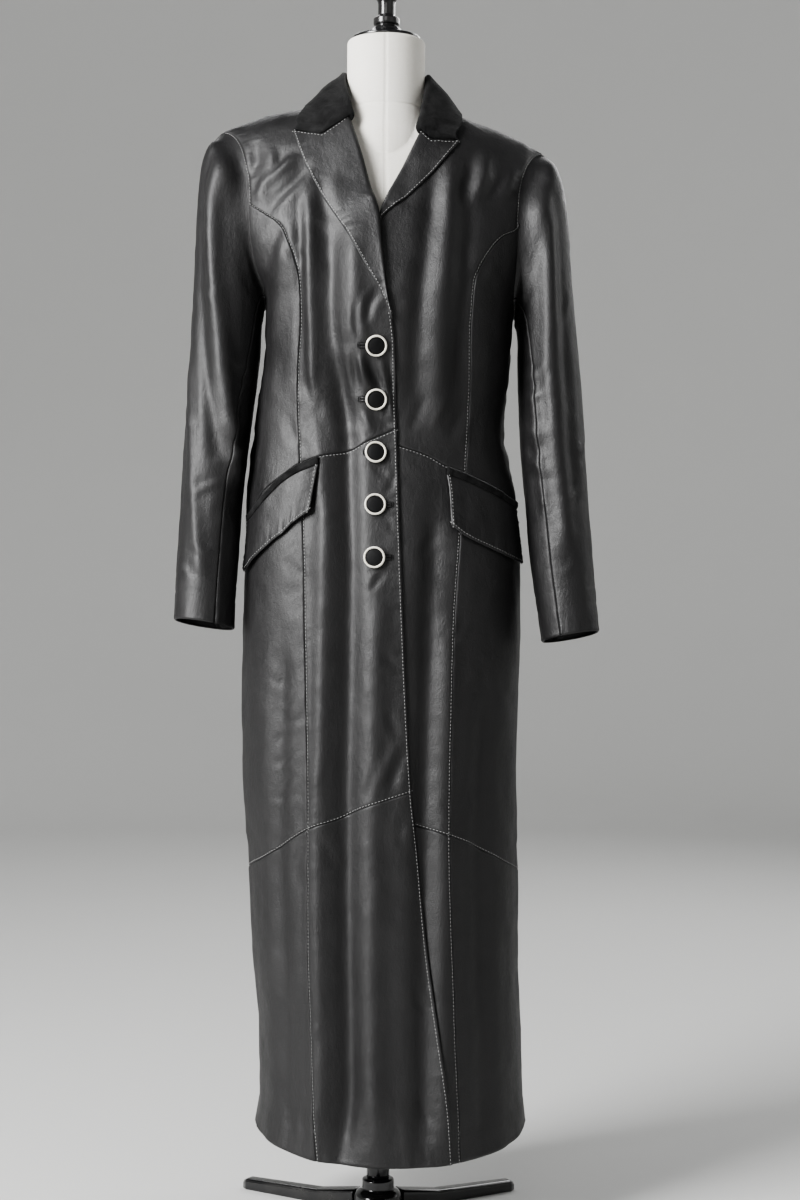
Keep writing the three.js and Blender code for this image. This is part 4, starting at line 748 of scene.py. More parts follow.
# How each kind of edge lies: the depth and width of the groove or rounding at its very edge, the
# height, place and width of the swell beside it, and the depth and reach of the puckers that the
# sewing draws
edgeStyles = {
    "seam": (0.9, 0.9, 0.22, 3.4, 3.4, 0.34, 13),
    "stitched": (0.9, 0.9, 0.25, 4, 2.4, 0.5, 15),
    "flap": (1.1, 1.2, 0.4, 2.2, 2, 1.1, 17),
    "edge": (1.1, 1.2, 0.4, 2.2, 2.4, 0.85, 13),
    "hem": (1.1, 1.2, 0.4, 3, 3, 1, 24),
    "tucked": (0.6, 1.5, 0, 4, 2, 0.3, 10),
    "under": (0.3, 1, 0, 4, 2, 0, 10),
}
stitchInset = {"seam": 0, "stitched": 2, "edge": 3.4, "flap": 3.4, "hem": 0, "tucked": 0, "under": 0}
stitchDip = {"depth": 0.35, "width": 0.9}
hemDip = {"depth": 0.5, "width": 2.2}


def edgeRelief(points, styles, seed):
    across, up = walked(points, 1), walked(points, 0)
    away = {"left": across, "right": across[:, -1:] - across, "bottom": up, "top": up[-1:] - up}
    along = {"left": up, "right": up, "bottom": across, "top": across}
    relief = np.zeros(points.shape[:2])
    for number, (side, kind) in enumerate(styles.items()):
        drop, dropWidth, swell, swellAt, swellWidth, puckerDepth, reach = edgeStyles[kind]
        distance = away[side]
        relief -= drop * hump(distance, dropWidth)
        relief += swell * hump(distance - swellAt, swellWidth)
        if stitchInset[kind]:
            relief -= stitchDip["depth"] * hump(distance - stitchInset[kind], stitchDip["width"])
        pucker = unevenWave(along[side], seed + number) * (1 - hump(distance, 1.6)) * hump(distance, reach)
        relief += puckerDepth * pucker
        if kind == "hem":
            relief -= hemDip["depth"] * hump(distance - cloth["hemDepth"], hemDip["width"])
    return relief, away


def lineAt(points, normals, away, side, inset):
    # the line on a finished grid that keeps a distance from one of its edges
    grid, facing, distance = points, normals, away[side]
    if side in ("bottom", "top"):
        grid, facing, distance = grid.transpose(1, 0, 2), facing.transpose(1, 0, 2), distance.T
    if side in ("right", "top"):
        grid, facing, distance = grid[:, ::-1], facing[:, ::-1], distance[:, ::-1]
    line, outward = [], []
    for row, normal, place in zip(grid, facing, distance):
        k = min(max(1, int(np.searchsorted(place, inset))), len(place) - 1)
        t = (inset - place[k - 1]) / (place[k] - place[k - 1])
        line.append(lerp(row[k - 1], row[k], t))
        outward.append(lerp(normal[k - 1], normal[k], t))
    return np.array(line), np.array(outward)


pieces = {}


def clothPiece(node, outer, thickness, slot, held="hung", rests=("form_body",), normals=None):
    # the wall of one cut piece, and what its flat cut measures
    normals = gridNormals(outer) if normals is None else normals
    made = wallMesh(f"{node}_cloth", outer, outer - normals * thickness)
    across, up = walked(outer, 1)[:, -1], walked(outer, 0)[-1]
    quads = np.cross(outer[1:, 1:] - outer[:-1, :-1], outer[:-1, 1:] - outer[1:, :-1])
    area = np.linalg.norm(quads, axis=2).sum() / 2
    flat = (across.max(), max(up.max(), area / across.max()))
    pieces[node] = {"object": made, "slot": slot, "held": held, "rests": rests, "flat": flat, "area": area}
    return made


def makePanel(node, edges, styles, seed, lift=None, thickness=cloth["thickness"], slot="leather",
              step=cloth["step"], group=None, held="hung"):
    u = gridShares((lineLength(edges["bottom"]) + lineLength(edges["top"])) / 2, step)
    v = gridShares((lineLength(edges["left"]) + lineLength(edges["right"])) / 2, step)
    spots = fillSpots(edges, u, v)
    flat = bodyForm(spots[..., 0], spots[..., 1])
    out = lift(spots, u[None, :], v[:, None]) if lift else np.zeros(spots.shape[:2])
    relief, away = edgeRelief(flat, styles, seed)
    outer = bodyPoint(spots, out + relief)
    normals = gridNormals(outer)
    for side, kind in styles.items():
        if stitchInset[kind] and group:
            stitchLines.setdefault(group, []).append(lineAt(outer, normals, away, side, stitchInset[kind]))
    return clothPiece(node, outer, thickness, slot, held=held, normals=normals)


def rightFrontLift(spots, *shares):
    # the right front lies over the left one, and over the left lapel where they cross
    point = bodyForm(spots[..., 0], spots[..., 1])
    past = point[..., 0] - frontEdgeAt[leftSide](point[..., 2])
    below = 1 - smoothstep(point[..., 2], *cloth["overlapEnd"])
    crossing = smoothstep(point[..., 2], *cloth["crossing"]) * below
    lift = cloth["overlapLift"] + cloth["crossingLift"] * crossing
    return smoothstep(past, *cloth["overlapReach"]) * below * lift


def coatSide(side):
    flip = sign[side]
    seamTurn = flip * body["sideSeamTurn"]
    edge, princess = frontEdgeAt[side], princessAt[side]
    waist, knee = smoothCurve(cut["waist"][side]), smoothCurve(cut["knee"][side])
    lift = rightFrontLift if side == rightSide else None
    corner = math.radians(cut["armhole"][side]["corner"])
    # the plain heights handed on below are first guesses of where seams cross
    kneeEdge, kneePrincess = seamCrossing(knee, edge, 560), seamCrossing(knee, princess, 520)
    waistEdge, waistPrincess = seamCrossing(waist, edge, 1040), seamCrossing(waist, princess, 1000)
    kneeSide = cut["backKnee"]["side"]
    waistSide = float(seamRise(waist, np.array([seamTurn]), 920)[0])

    def edgeTurn(z):
        return float(spotAt(edge(z), z)[0])

    def princessTurn(z):
        return float(spotAt(princess(z), z)[0])

    hemPrincess = float(hemRise(princessTurn(cut["hem"]["front"])))
    hemEdge = float(hemRise(edgeTurn(cut["hem"]["front"])))
    hemCentre = hemLine(edgeTurn(cut["hem"]["front"]), princessTurn(cut["hem"]["front"]))
    hemSide = hemLine(princessTurn(hemPrincess), seamTurn)
    kneeCentre = sidewaysLine(knee, edgeTurn(kneeEdge), princessTurn(kneePrincess), 540)
    kneeOuter = sidewaysLine(knee, princessTurn(kneePrincess), seamTurn, 490, end=kneeSide)
    waistCentre = sidewaysLine(waist, edgeTurn(waistEdge), princessTurn(waistPrincess), 1020)
    waistOuter = sidewaysLine(waist, princessTurn(waistPrincess), seamTurn, 960)
    edgeLower, edgeUpper = seamLine(edge, hemEdge, kneeEdge), seamLine(edge, kneeEdge, waistEdge)
    princessLower = seamLine(princess, hemPrincess, kneePrincess)
    princessUpper = seamLine(princess, kneePrincess, waistPrincess)

    cornerSpot = armholeSpot(side, corner)[0]
    cornerPoint = bodyForm(*cornerSpot)
    bodicePath = [(princess(waistPrincess), waistPrincess)]
    bodicePath += [(x, z) for z, x in cut["princess"][side][:-1] if z > waistPrincess + 5]
    bodicePrincess = outlineLine(bodicePath + [(cornerPoint[0], cornerPoint[2])])
    sideLower = turnLine(seamTurn, float(hemRise(seamTurn)), kneeSide)
    sideUpper = turnLine(seamTurn, kneeSide, waistSide)
    armpitSpot = armholeSpot(side, cut["armpit"])[0]

    def sideBodice(t):
        t = np.asarray(t, float)
        return asSpots(lerp(seamTurn, armpitSpot[0], t * t), lerp(waistSide, armpitSpot[1], t))

    edgeRows = [(x, z) for z, x in cut["frontEdge"][side] if z > waistEdge + 10]
    rollPath = [(edge(waistEdge), waistEdge)] + edgeRows
    neckX = cut["neckSideX"][side]
    inward, drop = cut["neckCorner"]
    neckCorner = spotAt(neckX * inward, shoulderAt(neckX) - drop)
    neckSpots = [spotAt(*edgeRows[-1]), neckCorner, ridgeSpot(neckX, "front")]
    joins = cut["joins"]
    bodiceEdge = joinedLine((joins["roll"], outlineLine(rollPath)), (1, spotsLine(neckSpots)))
    bodiceOuter = joinedLine((joins["bodice"], bodicePrincess), (1, armholeLine(side, corner, 0)))
    bodiceTop = shoulderLine(side, "front")

    def place(node, bottom, top, inside, outside, styles, seed, lift=None, group=f"front_{side}",
              step=cloth["step"]):
        # pieces run from low to high turn, so those of the right side are turned round
        if side == rightSide:
            edges = {"bottom": lambda t: bottom(1 - np.asarray(t)), "top": lambda t: top(1 - np.asarray(t)),
                     "left": outside, "right": inside}
        else:
            edges = {"bottom": bottom, "top": top, "left": inside, "right": outside}
        inner, outer = ("right", "left") if side == rightSide else ("left", "right")
        named = {"bottom": styles[0], "top": styles[1], inner: styles[2], outer: styles[3]}
        makePanel(f"{node}_{side}", edges, named, seed, lift=lift, group=group, step=step)

    place("skirt_lower_front", hemCentre, kneeCentre, edgeLower, princessLower,
          ("hem", "seam", "edge", "stitched"), 11, lift)
    place("skirt_upper_front", kneeCentre, waistCentre, edgeUpper, princessUpper,
          ("stitched", "stitched", "edge", "stitched"), 12, lift, step=cloth["fineStep"])
    place("bodice_front", waistCentre, bodiceTop, bodiceEdge, bodiceOuter,
          ("seam", "seam", "edge", "stitched"), 13, lift, step=cloth["fineStep"])
    place("skirt_lower_side", hemSide, kneeOuter, princessLower, sideLower,
          ("hem", "seam", "seam", "seam"), 14)
    place("skirt_upper_side", kneeOuter, waistOuter, princessUpper, sideUpper,
          ("stitched", "seam", "seam", "seam"), 15)
    place("bodice_side", waistOuter, armholeLine(side, corner, cut["armpit"]), bodicePrincess, sideBodice,
          ("seam", "tucked", "seam", "seam"), 16)

    # the back, in turns from the side seam to the middle
    middleTurn = flip * math.pi
    hemMiddle = float(hemRise(middleTurn))
    neckBack = float(spotAt(middleAt(cut["neckBackHeight"]), cut["neckBackHeight"], "back")[1])

    def kneeBack(t):
        t = np.asarray(t, float)
        rise = lerp(kneeSide, cut["backKnee"]["centre"], t * t * (3 - 2 * t))
        return asSpots(lerp(seamTurn, middleTurn, t), rise)

    backArmhole = armholeLine(side, cut["armpit"], 2 * math.pi)
    kneeMiddle, (waistLow, waistHigh) = cut["backKnee"]["centre"], cut["backWaist"]
    backOuter = joinedLine((joins["backKnee"], sideUpper), (joins["backWaist"], sideBodice), (1, backArmhole))
    backMiddle = joinedLine((joins["backKnee"], turnLine(middleTurn, kneeMiddle, waistLow)),
                            (joins["backWaist"], turnLine(middleTurn, waistLow, waistHigh)),
                            (1, turnLine(middleTurn, waistHigh, neckBack)))
    backShoulder = shoulderLine(side, "back", fromNeck=False)
    backTop = joinedLine((joins["backNeck"], backShoulder), (1, backNeckLine(side)))

    def placeBack(node, bottom, top, outside, inside, styles, seed):
        place(node, bottom, top, outside, inside, styles, seed, group="back")

    placeBack("back_lower", hemLine(seamTurn, middleTurn), kneeBack, sideLower,
              turnLine(middleTurn, hemMiddle, kneeMiddle), ("hem", "seam", "seam", "stitched"), 17)
    placeBack("back_upper", kneeBack, backTop, backOuter, backMiddle,
              ("stitched", "seam", "seam", "stitched"), 18)


coatSide(rightSide)
coatSide(leftSide)
print("body panels cut:", len(pieces))


# Sleeves, ring by ring from the shoulder to the cuff: outer x and height, inner x and height,
# place along the depth, half depth, and the turns in degrees of the two seams
sleeves = {
    "rings": {
        rightSide: [
            (-235, 1442, -163, 1208, 0, 63, 150, 235), (-246, 1417, -163.5, 1203, 0, 64, 150, 237),
            (-252, 1370, -164.5, 1196, -1, 64, 148, 239), (-255, 1305, -165.5, 1184, -2, 63, 146, 240),
            (-258, 1225, -167, 1156, -4, 62, 140, 241), (-262, 1135, -172.5, 1103, -8, 60, 130, 242),
            (-266, 1048, -180, 1035, -15, 57, 122, 243), (-270, 960, -188, 953, -26, 53, 118, 244),
            (-273, 880, -192, 873, -38, 50, 116, 246), (-275, 797, -196, 786, -51, 47, 115, 248),
        ],
        leftSide: [
            (227, 1418, 176, 1197, 0, 63, 142, 235), (238, 1393, 178, 1192, 0, 64, 140, 237),
            (245, 1348, 179, 1186, -1, 64, 137, 239), (250, 1288, 180, 1175, -2, 63, 133, 240),
            (256, 1215, 180, 1148, -4, 62, 127, 241), (264, 1130, 181, 1098, -8, 60, 121, 242),
            (270, 1045, 184, 1030, -15, 57, 117, 243), (275, 960, 191, 948, -26, 53, 115, 244),
            (280, 880, 199, 867, -38, 50, 114, 246), (288, 785, 213, 772, -51, 47, 114, 248),
        ],
    },
    "roundness": 0.92,
    "cuffRise": 5.5,
    "headOut": 0.2, "headIn": 0.5,
    "tuck": 7, "tuckUnder": 3,  # how far the head reaches in under the bodice
    "upperWidth": 215, "underWidth": 95, "length": 700,  # for the grid's spacing
    "foldFade": 45,
    "foldsFrom": (4, 30),  # the folds come in over this way down from the head
    "cap": {"height": 3, "down": 14, "width": 11},
    "cuffHem": {"up": 60, "depth": 0.5, "width": 2.5},
    "ripples": [(0.8, (1, 1, 0.4), 24, 8), (0.4, (1, 1, 1), 15, 9)],
    # depth, width, and the path as degrees round the sleeve by height
    "folds": {
        rightSide: [
            (9, 15, [(56, 1330), (64, 1270), (84, 1180), (105, 1094), (126, 1030), (140, 985)]),
            (5, 14, [(300, 1330), (296, 1200), (285, 1080), (272, 960)]),
            (-4.5, 12, [(32, 1330), (38, 1260), (54, 1170), (76, 1090), (96, 1020)]),
            (4, 12, [(26, 1120), (50, 1010), (72, 920), (86, 860)]),
        ],
        leftSide: [
            (7.5, 14, [(74, 1310), (84, 1230), (90, 1120), (88, 1010), (84, 900)]),
            (4, 14, [(298, 1300), (292, 1180), (282, 1060), (270, 950)]),
            (-3, 13, [(50, 1300), (58, 1200), (62, 1090), (60, 960)]),
            (3.5, 12, [(126, 1110), (118, 1020), (112, 940)]),
        ],
    },
    "creases": {
        rightSide: [
            (1.6, 7, [(100, 1150), (122, 1132), (150, 1128)]),
            (1.4, 6, [(104, 1120), (128, 1106), (156, 1108)]),
            (1.8, 8, [(96, 1060), (124, 1052), (160, 1066)]),
            (-1.4, 6, [(100, 1036), (130, 1030), (160, 1042)]),
            (1.6, 7, [(90, 1006), (118, 1008), (150, 1024)]), (1.2, 5, [(60, 960), (84, 972), (110, 980)]),
            (1.4, 6, [(40, 1260), (58, 1230), (80, 1214)]), (1.3, 6, [(10, 1080), (36, 1060), (58, 1056)]),
            (1.4, 7, [(200, 1130), (230, 1110), (262, 1104)]),
            (1.6, 7, [(196, 1060), (226, 1050), (258, 1052)]),
            (1.3, 6, [(206, 1000), (232, 996), (262, 1002)]),
            (1.3, 6, [(320, 1100), (342, 1070), (356, 1030)]),
            (1.1, 5, [(70, 900), (86, 888), (104, 884)]), (1, 5, [(30, 870), (52, 862), (70, 850)]),
            (1.1, 5, [(250, 900), (276, 890), (300, 894)]), (1.6, 8, [(80, 1380), (96, 1340), (104, 1300)]),
            (1.5, 8, [(276, 1380), (262, 1340), (256, 1300)]), (1, 5, [(12, 980), (22, 940), (20, 900)]),
        ],
        leftSide: [
            (1.6, 7, [(96, 1140), (120, 1124), (150, 1122)]),
            (1.4, 6, [(100, 1104), (126, 1094), (156, 1098)]),
            (1.8, 8, [(92, 1052), (120, 1046), (158, 1058)]),
            (-1.4, 6, [(98, 1028), (128, 1022), (158, 1034)]),
            (1.5, 7, [(88, 1000), (116, 1000), (150, 1014)]), (1.2, 5, [(50, 980), (74, 960), (90, 952)]),
            (1.3, 6, [(34, 1240), (52, 1206), (70, 1190)]), (1.3, 6, [(8, 1060), (30, 1030), (52, 1020)]),
            (1.4, 7, [(204, 1120), (232, 1104), (262, 1100)]),
            (1.6, 7, [(198, 1050), (228, 1040), (260, 1044)]),
            (1.2, 6, [(322, 1110), (344, 1080), (358, 1046)]), (1, 5, [(70, 880), (84, 866), (100, 862)]),
            (1.1, 5, [(254, 890), (280, 880), (302, 884)]), (1.6, 8, [(78, 1360), (94, 1320), (102, 1280)]),
            (1.5, 8, [(278, 1360), (264, 1320), (258, 1280)]), (1, 5, [(14, 960), (26, 920), (24, 880)]),
        ],
    },
}


def sleeveHead(side, degrees):
    out, inward = sleeves["headOut"], sleeves["headIn"]
    hole = cut["armhole"][side]
    spots = armholeSpot(side, np.radians(degrees))
    points = bodyPoint(spots, out)
    aside = points[:, 0] + sign[side] * (hole["top"] - hole["bottom"]) / 2
    level = np.full(len(points), (hole["top"] + hole["bottom"]) / 2)
    centre = np.stack([aside, np.zeros(len(points)), level], axis=1)
    way = centre - points
    way = way / np.linalg.norm(way, axis=1, keepdims=True)
    tucked = bodyPoint(spots, -sleeves["tuckUnder"]) - way * sleeves["tuck"]
    return tucked, points + way * inward


def makeSleeve(side):
    rings = sleeves["rings"][side]
    upperGrid = gridShares(sleeves["upperWidth"], cloth["step"])
    underGrid = gridShares(sleeves["underWidth"], cloth["step"])

    def ringAngles(front, rear):
        upper = lerp(rear - 360, front, upperGrid)
        return np.concatenate([upper, lerp(front, rear, underGrid)[1:-1]])

    def ringPoints(ring, last):
        outerX, outerZ, innerX, innerZ, y, halfDepth, front, rear = ring
        degrees = ringAngles(front, rear)
        angle = np.radians(degrees)
        outer, inner = np.array([outerX, y, outerZ]), np.array([innerX, y, innerZ])
        forward = np.array([0, -halfDepth, sleeves["cuffRise"] if last else 0])
        c = roundedPower(np.cos(angle), sleeves["roundness"])[:, None]
        s = roundedPower(np.sin(angle), sleeves["roundness"])[:, None]
        return (outer + inner) / 2 + c * (outer - inner) / 2 + s * forward

    tucked, head = sleeveHead(side, ringAngles(*rings[0][6:]))
    control = [tucked, head] + [ringPoints(ring, ring is rings[-1]) for ring in rings]
    degreesAt = np.array([ringAngles(*ring[6:]) for ring in [rings[0], rings[0]] + rings])[..., None]
    down = gridShares(sleeves["length"], cloth["step"])
    grid = throughRings(np.concatenate([control, degreesAt], axis=2), down)
    grid, degrees = grid[..., :3], grid[..., 3] % 360
    height = grid[..., 2].mean(axis=1, keepdims=True) * np.ones_like(degrees)
    normals = gridNormals(grid, closed=True) * sign[side] * -1
    depth = foldDepth(degrees, height, sleeves["folds"][side], sleeves["foldFade"])
    depth += creaseDepth(degrees, grid[..., 2], sleeves["creases"][side])
    depth += ripples(grid, sleeves["ripples"])
    down = walked(grid, 0) - sleeves["tuck"]
    cap = sleeves["cap"]
    swell = cap["height"] * hump(down - cap["down"], cap["width"])
    swell = swell * smoothstep(np.cos(np.radians(degrees)), -0.3, 0.6) * smoothstep(down, -1, 3)
    grid = grid + normals * (swell - depth * smoothstep(down, *sleeves["foldsFrom"]))[..., None]
    closed = np.concatenate([grid, grid[:, :1]], axis=1)
    last = len(upperGrid) - 1

    def half(node, columns):
        points = closed[:, columns]
        # rows run from the cuff up and columns towards the wearer's left in front
        points = points[::-1] if side == leftSide else points[::-1, ::-1]
        styles = {"bottom": "hem", "left": "seam", "right": "seam"}
        relief, away = edgeRelief(points, styles, 31)
        cuffHem = sleeves["cuffHem"]
        relief = relief - cuffHem["depth"] * hump(away["bottom"] - cuffHem["up"], cuffHem["width"])
        facing = gridNormals(points)
        middle = points.mean(axis=1, keepdims=True)
        whole = closed.mean(axis=1, keepdims=True)[::-1]
        if ((points - whole) * facing).sum() < 0:
            points, relief = points[:, ::-1], relief[:, ::-1]
            facing = gridNormals(points)
        outer = points + facing * relief[..., None]
        clothPiece(f"{node}_{side}", outer, cloth["thickness"], "leather", rests=("back_upper_" + side,))

    half("sleeve_upper", slice(0, last + 1))
    half("sleeve_under", slice(last, closed.shape[1]))


makeSleeve(rightSide)
makeSleeve(leftSide)
print("sleeves set in")


# Lapels, on the fronts, as outlines from the break up
lapels = {
    "outer": {
        rightSide: [(9.5, 1188), (1, 1212), (-25, 1258), (-51, 1305), (-86, 1361), (-110, 1410),
                    (-123, 1447)],
        leftSide: [(-9, 1300), (-2, 1322), (33, 1354), (72, 1396), (99, 1432)],
    },
    "roll": {
        rightSide: [(12, 1188), (7, 1212), (-1, 1278), (-9, 1340), (-16, 1361), (-31, 1416), (-46.6, 1465)],
        leftSide: [(-13, 1300), (-4, 1337), (24, 1396), (46.8, 1445)],
    },
    "top": {
        rightSide: [(-123, 1447), (-82.8, 1439), (-64, 1452), (-46.6, 1465)],
        leftSide: [(46.8, 1445), (53, 1438), (61, 1431), (99, 1432)],
    },
    "rollStandOff": {rightSide: 3, leftSide: 1},
    "rollRadius": 6, "rollOver": 0.4,
    "thickness": 2, "wall": 1.8, "step": 3.2,
    "width": (12, 95),  # at the break, and how much it gains to the top
    "wave": 0.72,
}


def cornersLine(points):
    # straight on between corners, by the share of its length
    points = np.array(points, float)
    at = lengthsAlong(points)
    at = at / at[-1]
    return lambda t: spotAt(np.interp(t, at, points[:, 0]), np.interp(t, at, points[:, 1]))


def makeLapel(side):
    outer, roll = outlineLine(lapels["outer"][side]), outlineLine(lapels["roll"][side])
    left, right = (outer, roll) if side == rightSide else (roll, outer)
    lowEnds = np.concatenate([left(0.0), right(0.0)])
    top = cornersLine(lapels["top"][side])
    edges = {"bottom": spotsLine(lowEnds), "top": top, "left": left, "right": right}

    def lift(spots, u, v):
        toRoll = u if side == rightSide else 1 - u
        below = rightFrontLift(spots) if side == rightSide else 0
        out = below + cloth["layerGap"] + lapels["thickness"] + lapels["rollStandOff"][side] * toRoll ** 3
        narrow, gain = lapels["width"]
        fromRoll = (1 - toRoll) * (narrow + gain * v)
        turned = np.clip(1 - fromRoll / lapels["rollRadius"], 0, 1)
        drop = (out - below + lapels["rollOver"]) * (1 - np.sqrt(1 - turned ** 2))
        return out - drop + lapels["wave"] * np.sin(v * 9 + 1) * (1 - toRoll) * v

    outerSide, rollSide = ("left", "right") if side == rightSide else ("right", "left")
    styles = {outerSide: "edge", rollSide: "under", "top": "edge", "bottom": "under"}
    makePanel(f"lapel_{side}", edges, styles, 41, lift=lift, thickness=lapels["wall"],
              step=lapels["step"], group=f"lapel_{side}", held="folded")


makeLapel(rightSide)
makeLapel(leftSide)


# Collar, section by section from the front end to the middle of the back: foot, fold, middle
# and edge. Foot and edge are x and height on the body, or x alone on the shoulder line, or for
# a foot behind the share of its way to the middle.
collar = {
    rightSide: [
        ((-46.6, 1466), (-47, -62.5, 1467), (-83, -65, 1443), (-117, 1450), "front"),
        ((-53, 1475), (-50, -54, 1489), (-84, -56, 1464), (-118, 1462), "front"),
        ((-60.2, 1485), (-55, -34, 1511), (-85, -34, 1492), (-110, 1479), "front"),
        ((-70,), (-58, -3, 1536), (-84, -3, 1516), (-106,), "front"),
        (0.34, (-50, 38, 1542), (-74, 48, 1514), (-95, 1474), "back"),
        (0.68, (-28, 62, 1543), (-40, 78, 1512), (-52, 1462), "back"),
        (1, (0, 69, 1542), (0, 87, 1510), (0, 1456), "back"),
    ],
    leftSide: [
        ((46.8, 1446), (47, -69.5, 1448.5), (61, -70, 1436), (94, 1436.5), "front"),
        ((53, 1460), (50, -58, 1475), (70, -59, 1458), (98, 1449), "front"),
        ((60.2, 1478), (55, -36, 1503), (80, -36, 1484), (101, 1464), "front"),
        ((70,), (58, -3, 1534), (81, -3, 1510), (101,), "front"),
        (0.34, (50, 38, 1541), (71, 48, 1512), (91, 1470), "back"),
        (0.68, (28, 62, 1542), (40, 78, 1511), (51, 1460), "back"),
        (1, (0, 69, 1542), (0, 87, 1510), (0, 1456), "back"),
    ],
    "tuck": 4, "sink": 4.5, "inset": 4, "footRise": 2, "thickness": 2.2, "edgeGap": 2.2,
    "foldWidth": 6, "foldDrop": 3, "length": 440, "width": 112, "step": 3.2, "fineStep": 2.8,
    "reliefShare": 0.7, "ripples": [(0.7, (1, 1, 1), 19, 12), (0.35, (1, 1, 1), 9, 13)],
}


def makeCollar():
    def onBody(place, face):
        return ridgeSpot(place[0], face) if len(place) == 1 else spotAt(place[0], place[1], face)

    def sectionPoints(side, foot, fold, middle, edge, face):
        fold, middle = np.array(fold, float), np.array(middle, float)
        footSpot = backNeckLine(side)(foot) if face == "back" else onBody(foot, face)
        footPoint = bodyPoint(footSpot, -1, plain=True)
        way = fold - footPoint
        footPoint = footPoint + way / np.linalg.norm(way) * collar["footRise"]
        edgePoint = bodyPoint(onBody(edge, face), collar["thickness"] / 2 + collar["edgeGap"], plain=True)
        outward = (middle - fold) * (1, 1, 0)
        outward = outward / np.linalg.norm(outward) * collar["foldWidth"] / 2
        drop = np.array([0, 0, collar["foldDrop"]])
        inFold, outFold = fold - outward - drop, fold + outward - drop
        return [footPoint, (footPoint + inFold) / 2, inFold, fold, outFold, (outFold + middle) / 2, middle,
                (middle + edgePoint) / 2, edgePoint]

    sections = [sectionPoints(rightSide, *row) for row in collar[rightSide]]
    sections += [sectionPoints(leftSide, *row) for row in collar[leftSide][:-1][::-1]]
    sections = np.array(sections)
    # both ends run on a little way under the lapels
    for end, second in ((0, 1), (-1, -2)):
        way = sections[end] - sections[second]
        way = way / np.linalg.norm(way, axis=1, keepdims=True)
        inward = math.copysign(collar["inset"], sections[end][0, 0])
        under = sections[end] + way * collar["tuck"] + np.array([inward, collar["sink"], 0])
        sections = np.concatenate([[under], sections] if end == 0 else [sections, [under]])
    along = throughRings(sections, gridShares(collar["length"], collar["step"]))
    grid = throughRings(along.transpose(1, 0, 2), gridShares(collar["width"], collar["fineStep"]))
    styles = {"left": "edge", "right": "edge", "bottom": "under", "top": "edge"}
    relief, _ = edgeRelief(grid, styles, 51)
    normals = gridNormals(grid)
    out = collar["thickness"] / 2 + relief * collar["reliefShare"] + ripples(grid, collar["ripples"])
    outer = grid + normals * out[..., None]
    clothPiece("collar", outer, collar["thickness"], "velvet", held="folded",
               rests=("back_upper_right", "back_upper_left"))


makeCollar()
print("lapels and collar laid")


# Pocket welts and flaps, as outlines on the hips
pockets = {
    "top": {rightSide: [(-81, 1011), (-106, 1003), (-128, 990), (-155, 963), (-178, 938)],
            leftSide: [(83, 1000), (114, 989), (154, 970), (176, 958)]},
    "bottom": {rightSide: [(-91, 939), (-114, 924), (-127, 911), (-140, 901), (-158, 884), (-179, 862)],
               leftSide: [(87, 922), (103, 910), (140, 893), (180, 875)]},
    "weltWidth": 11, "weltRoll": 1.1, "weltOut": 0.3, "weltStep": 2.4,
    "standOff": {"top": 1.4, "bottom": 5, "inner": 3},
    "flapThickness": 2, "flapStep": 2.8, "flapWave": 0.9,
}


def makePocket(side):
    top, bottom = pockets["top"][side], pockets["bottom"][side]
    weltEnd = outlineLine([(x, z - pockets["weltWidth"]) for x, z in top])
    upper, flapEnd = outlineLine(top), outlineLine(bottom)

    def patch(low, high):
        def turned(line):
            return (lambda t: line(1 - np.asarray(t))) if side == rightSide else line
        low, high = turned(low), turned(high)
        return {"bottom": low, "top": high, "left": spotsLine(np.concatenate([low(0.0), high(0.0)])),
                "right": spotsLine(np.concatenate([low(1.0), high(1.0)]))}

    def weltLift(spots, u, v):
        roll = pockets["weltRoll"] * np.sin(np.pi * v) * np.ones_like(u)
        return cloth["thickness"] + pockets["standOff"]["top"] + pockets["weltOut"] + roll

    def flapLift(spots, u, v):
        off = lerp(pockets["standOff"]["bottom"], pockets["standOff"]["top"], v ** 0.8)
        inner = u if side == rightSide else 1 - u
        off = off + pockets["standOff"]["inner"] * smoothstep(inner, 0.72, 1) * (1 - v ** 3)
        return cloth["thickness"] + off + pockets["flapWave"] * (1 - v) * np.sin(u * 7.5 + 0.6)

    ends = {"left": "edge", "right": "edge"}
    makePanel(f"pocket_welt_{side}", patch(weltEnd, upper), {**ends, "bottom": "under", "top": "edge"},
              61, lift=weltLift, slot="velvet", step=pockets["weltStep"])
    edges = {"left": "flap", "right": "flap", "bottom": "flap", "top": "under"}
    makePanel(f"pocket_flap_{side}", patch(flapEnd, weltEnd), edges, 62, lift=flapLift,
              thickness=pockets["flapThickness"], step=pockets["flapStep"], group=f"flap_{side}")


makePocket(rightSide)
makePocket(leftSide)
print("pockets laid, cloth pieces:", len(pieces))


# Buttons, each a covered face in a rim, on a shank
buttons = {
    "heights": [1154, 1086, 1016, 948, 880],
    "x": -9,
    "radius": 14,
    "rimWidth": 2.7,
    "gap": 0.7,
    "shank": (4, 2),  # radius and length
    "dome": (1.6, 2.3),  # height of its foot over the shank, and rise
    "segments": 64,
    "holeLength": 31,
    "holeShift": [-7, -7, 0, 7, 7],  # how far each hole reaches past its button
    # lips of a hole, and the dark strips of painted shade in its slit and seam grooves (seams) and at its
    # ends (bars): their heights or lengths, half width, half height and lift
    "lips": ((-1.9, 1.9), 1.6, 1.3, 0),
    "seams": ((-3.7, 0, 3.7), 0.4, 0.5, 0.5),
    "bars": ((-4, 4), 0.4, 0.5, 1),
    "barPlaces": (-0.5, 2),
    "tilts": [(0.15, -0.1), (0.13, -0.09), (0.1, 0.02), (0.06, -0.06), (-0.07, -0.08)],  # across and up
}


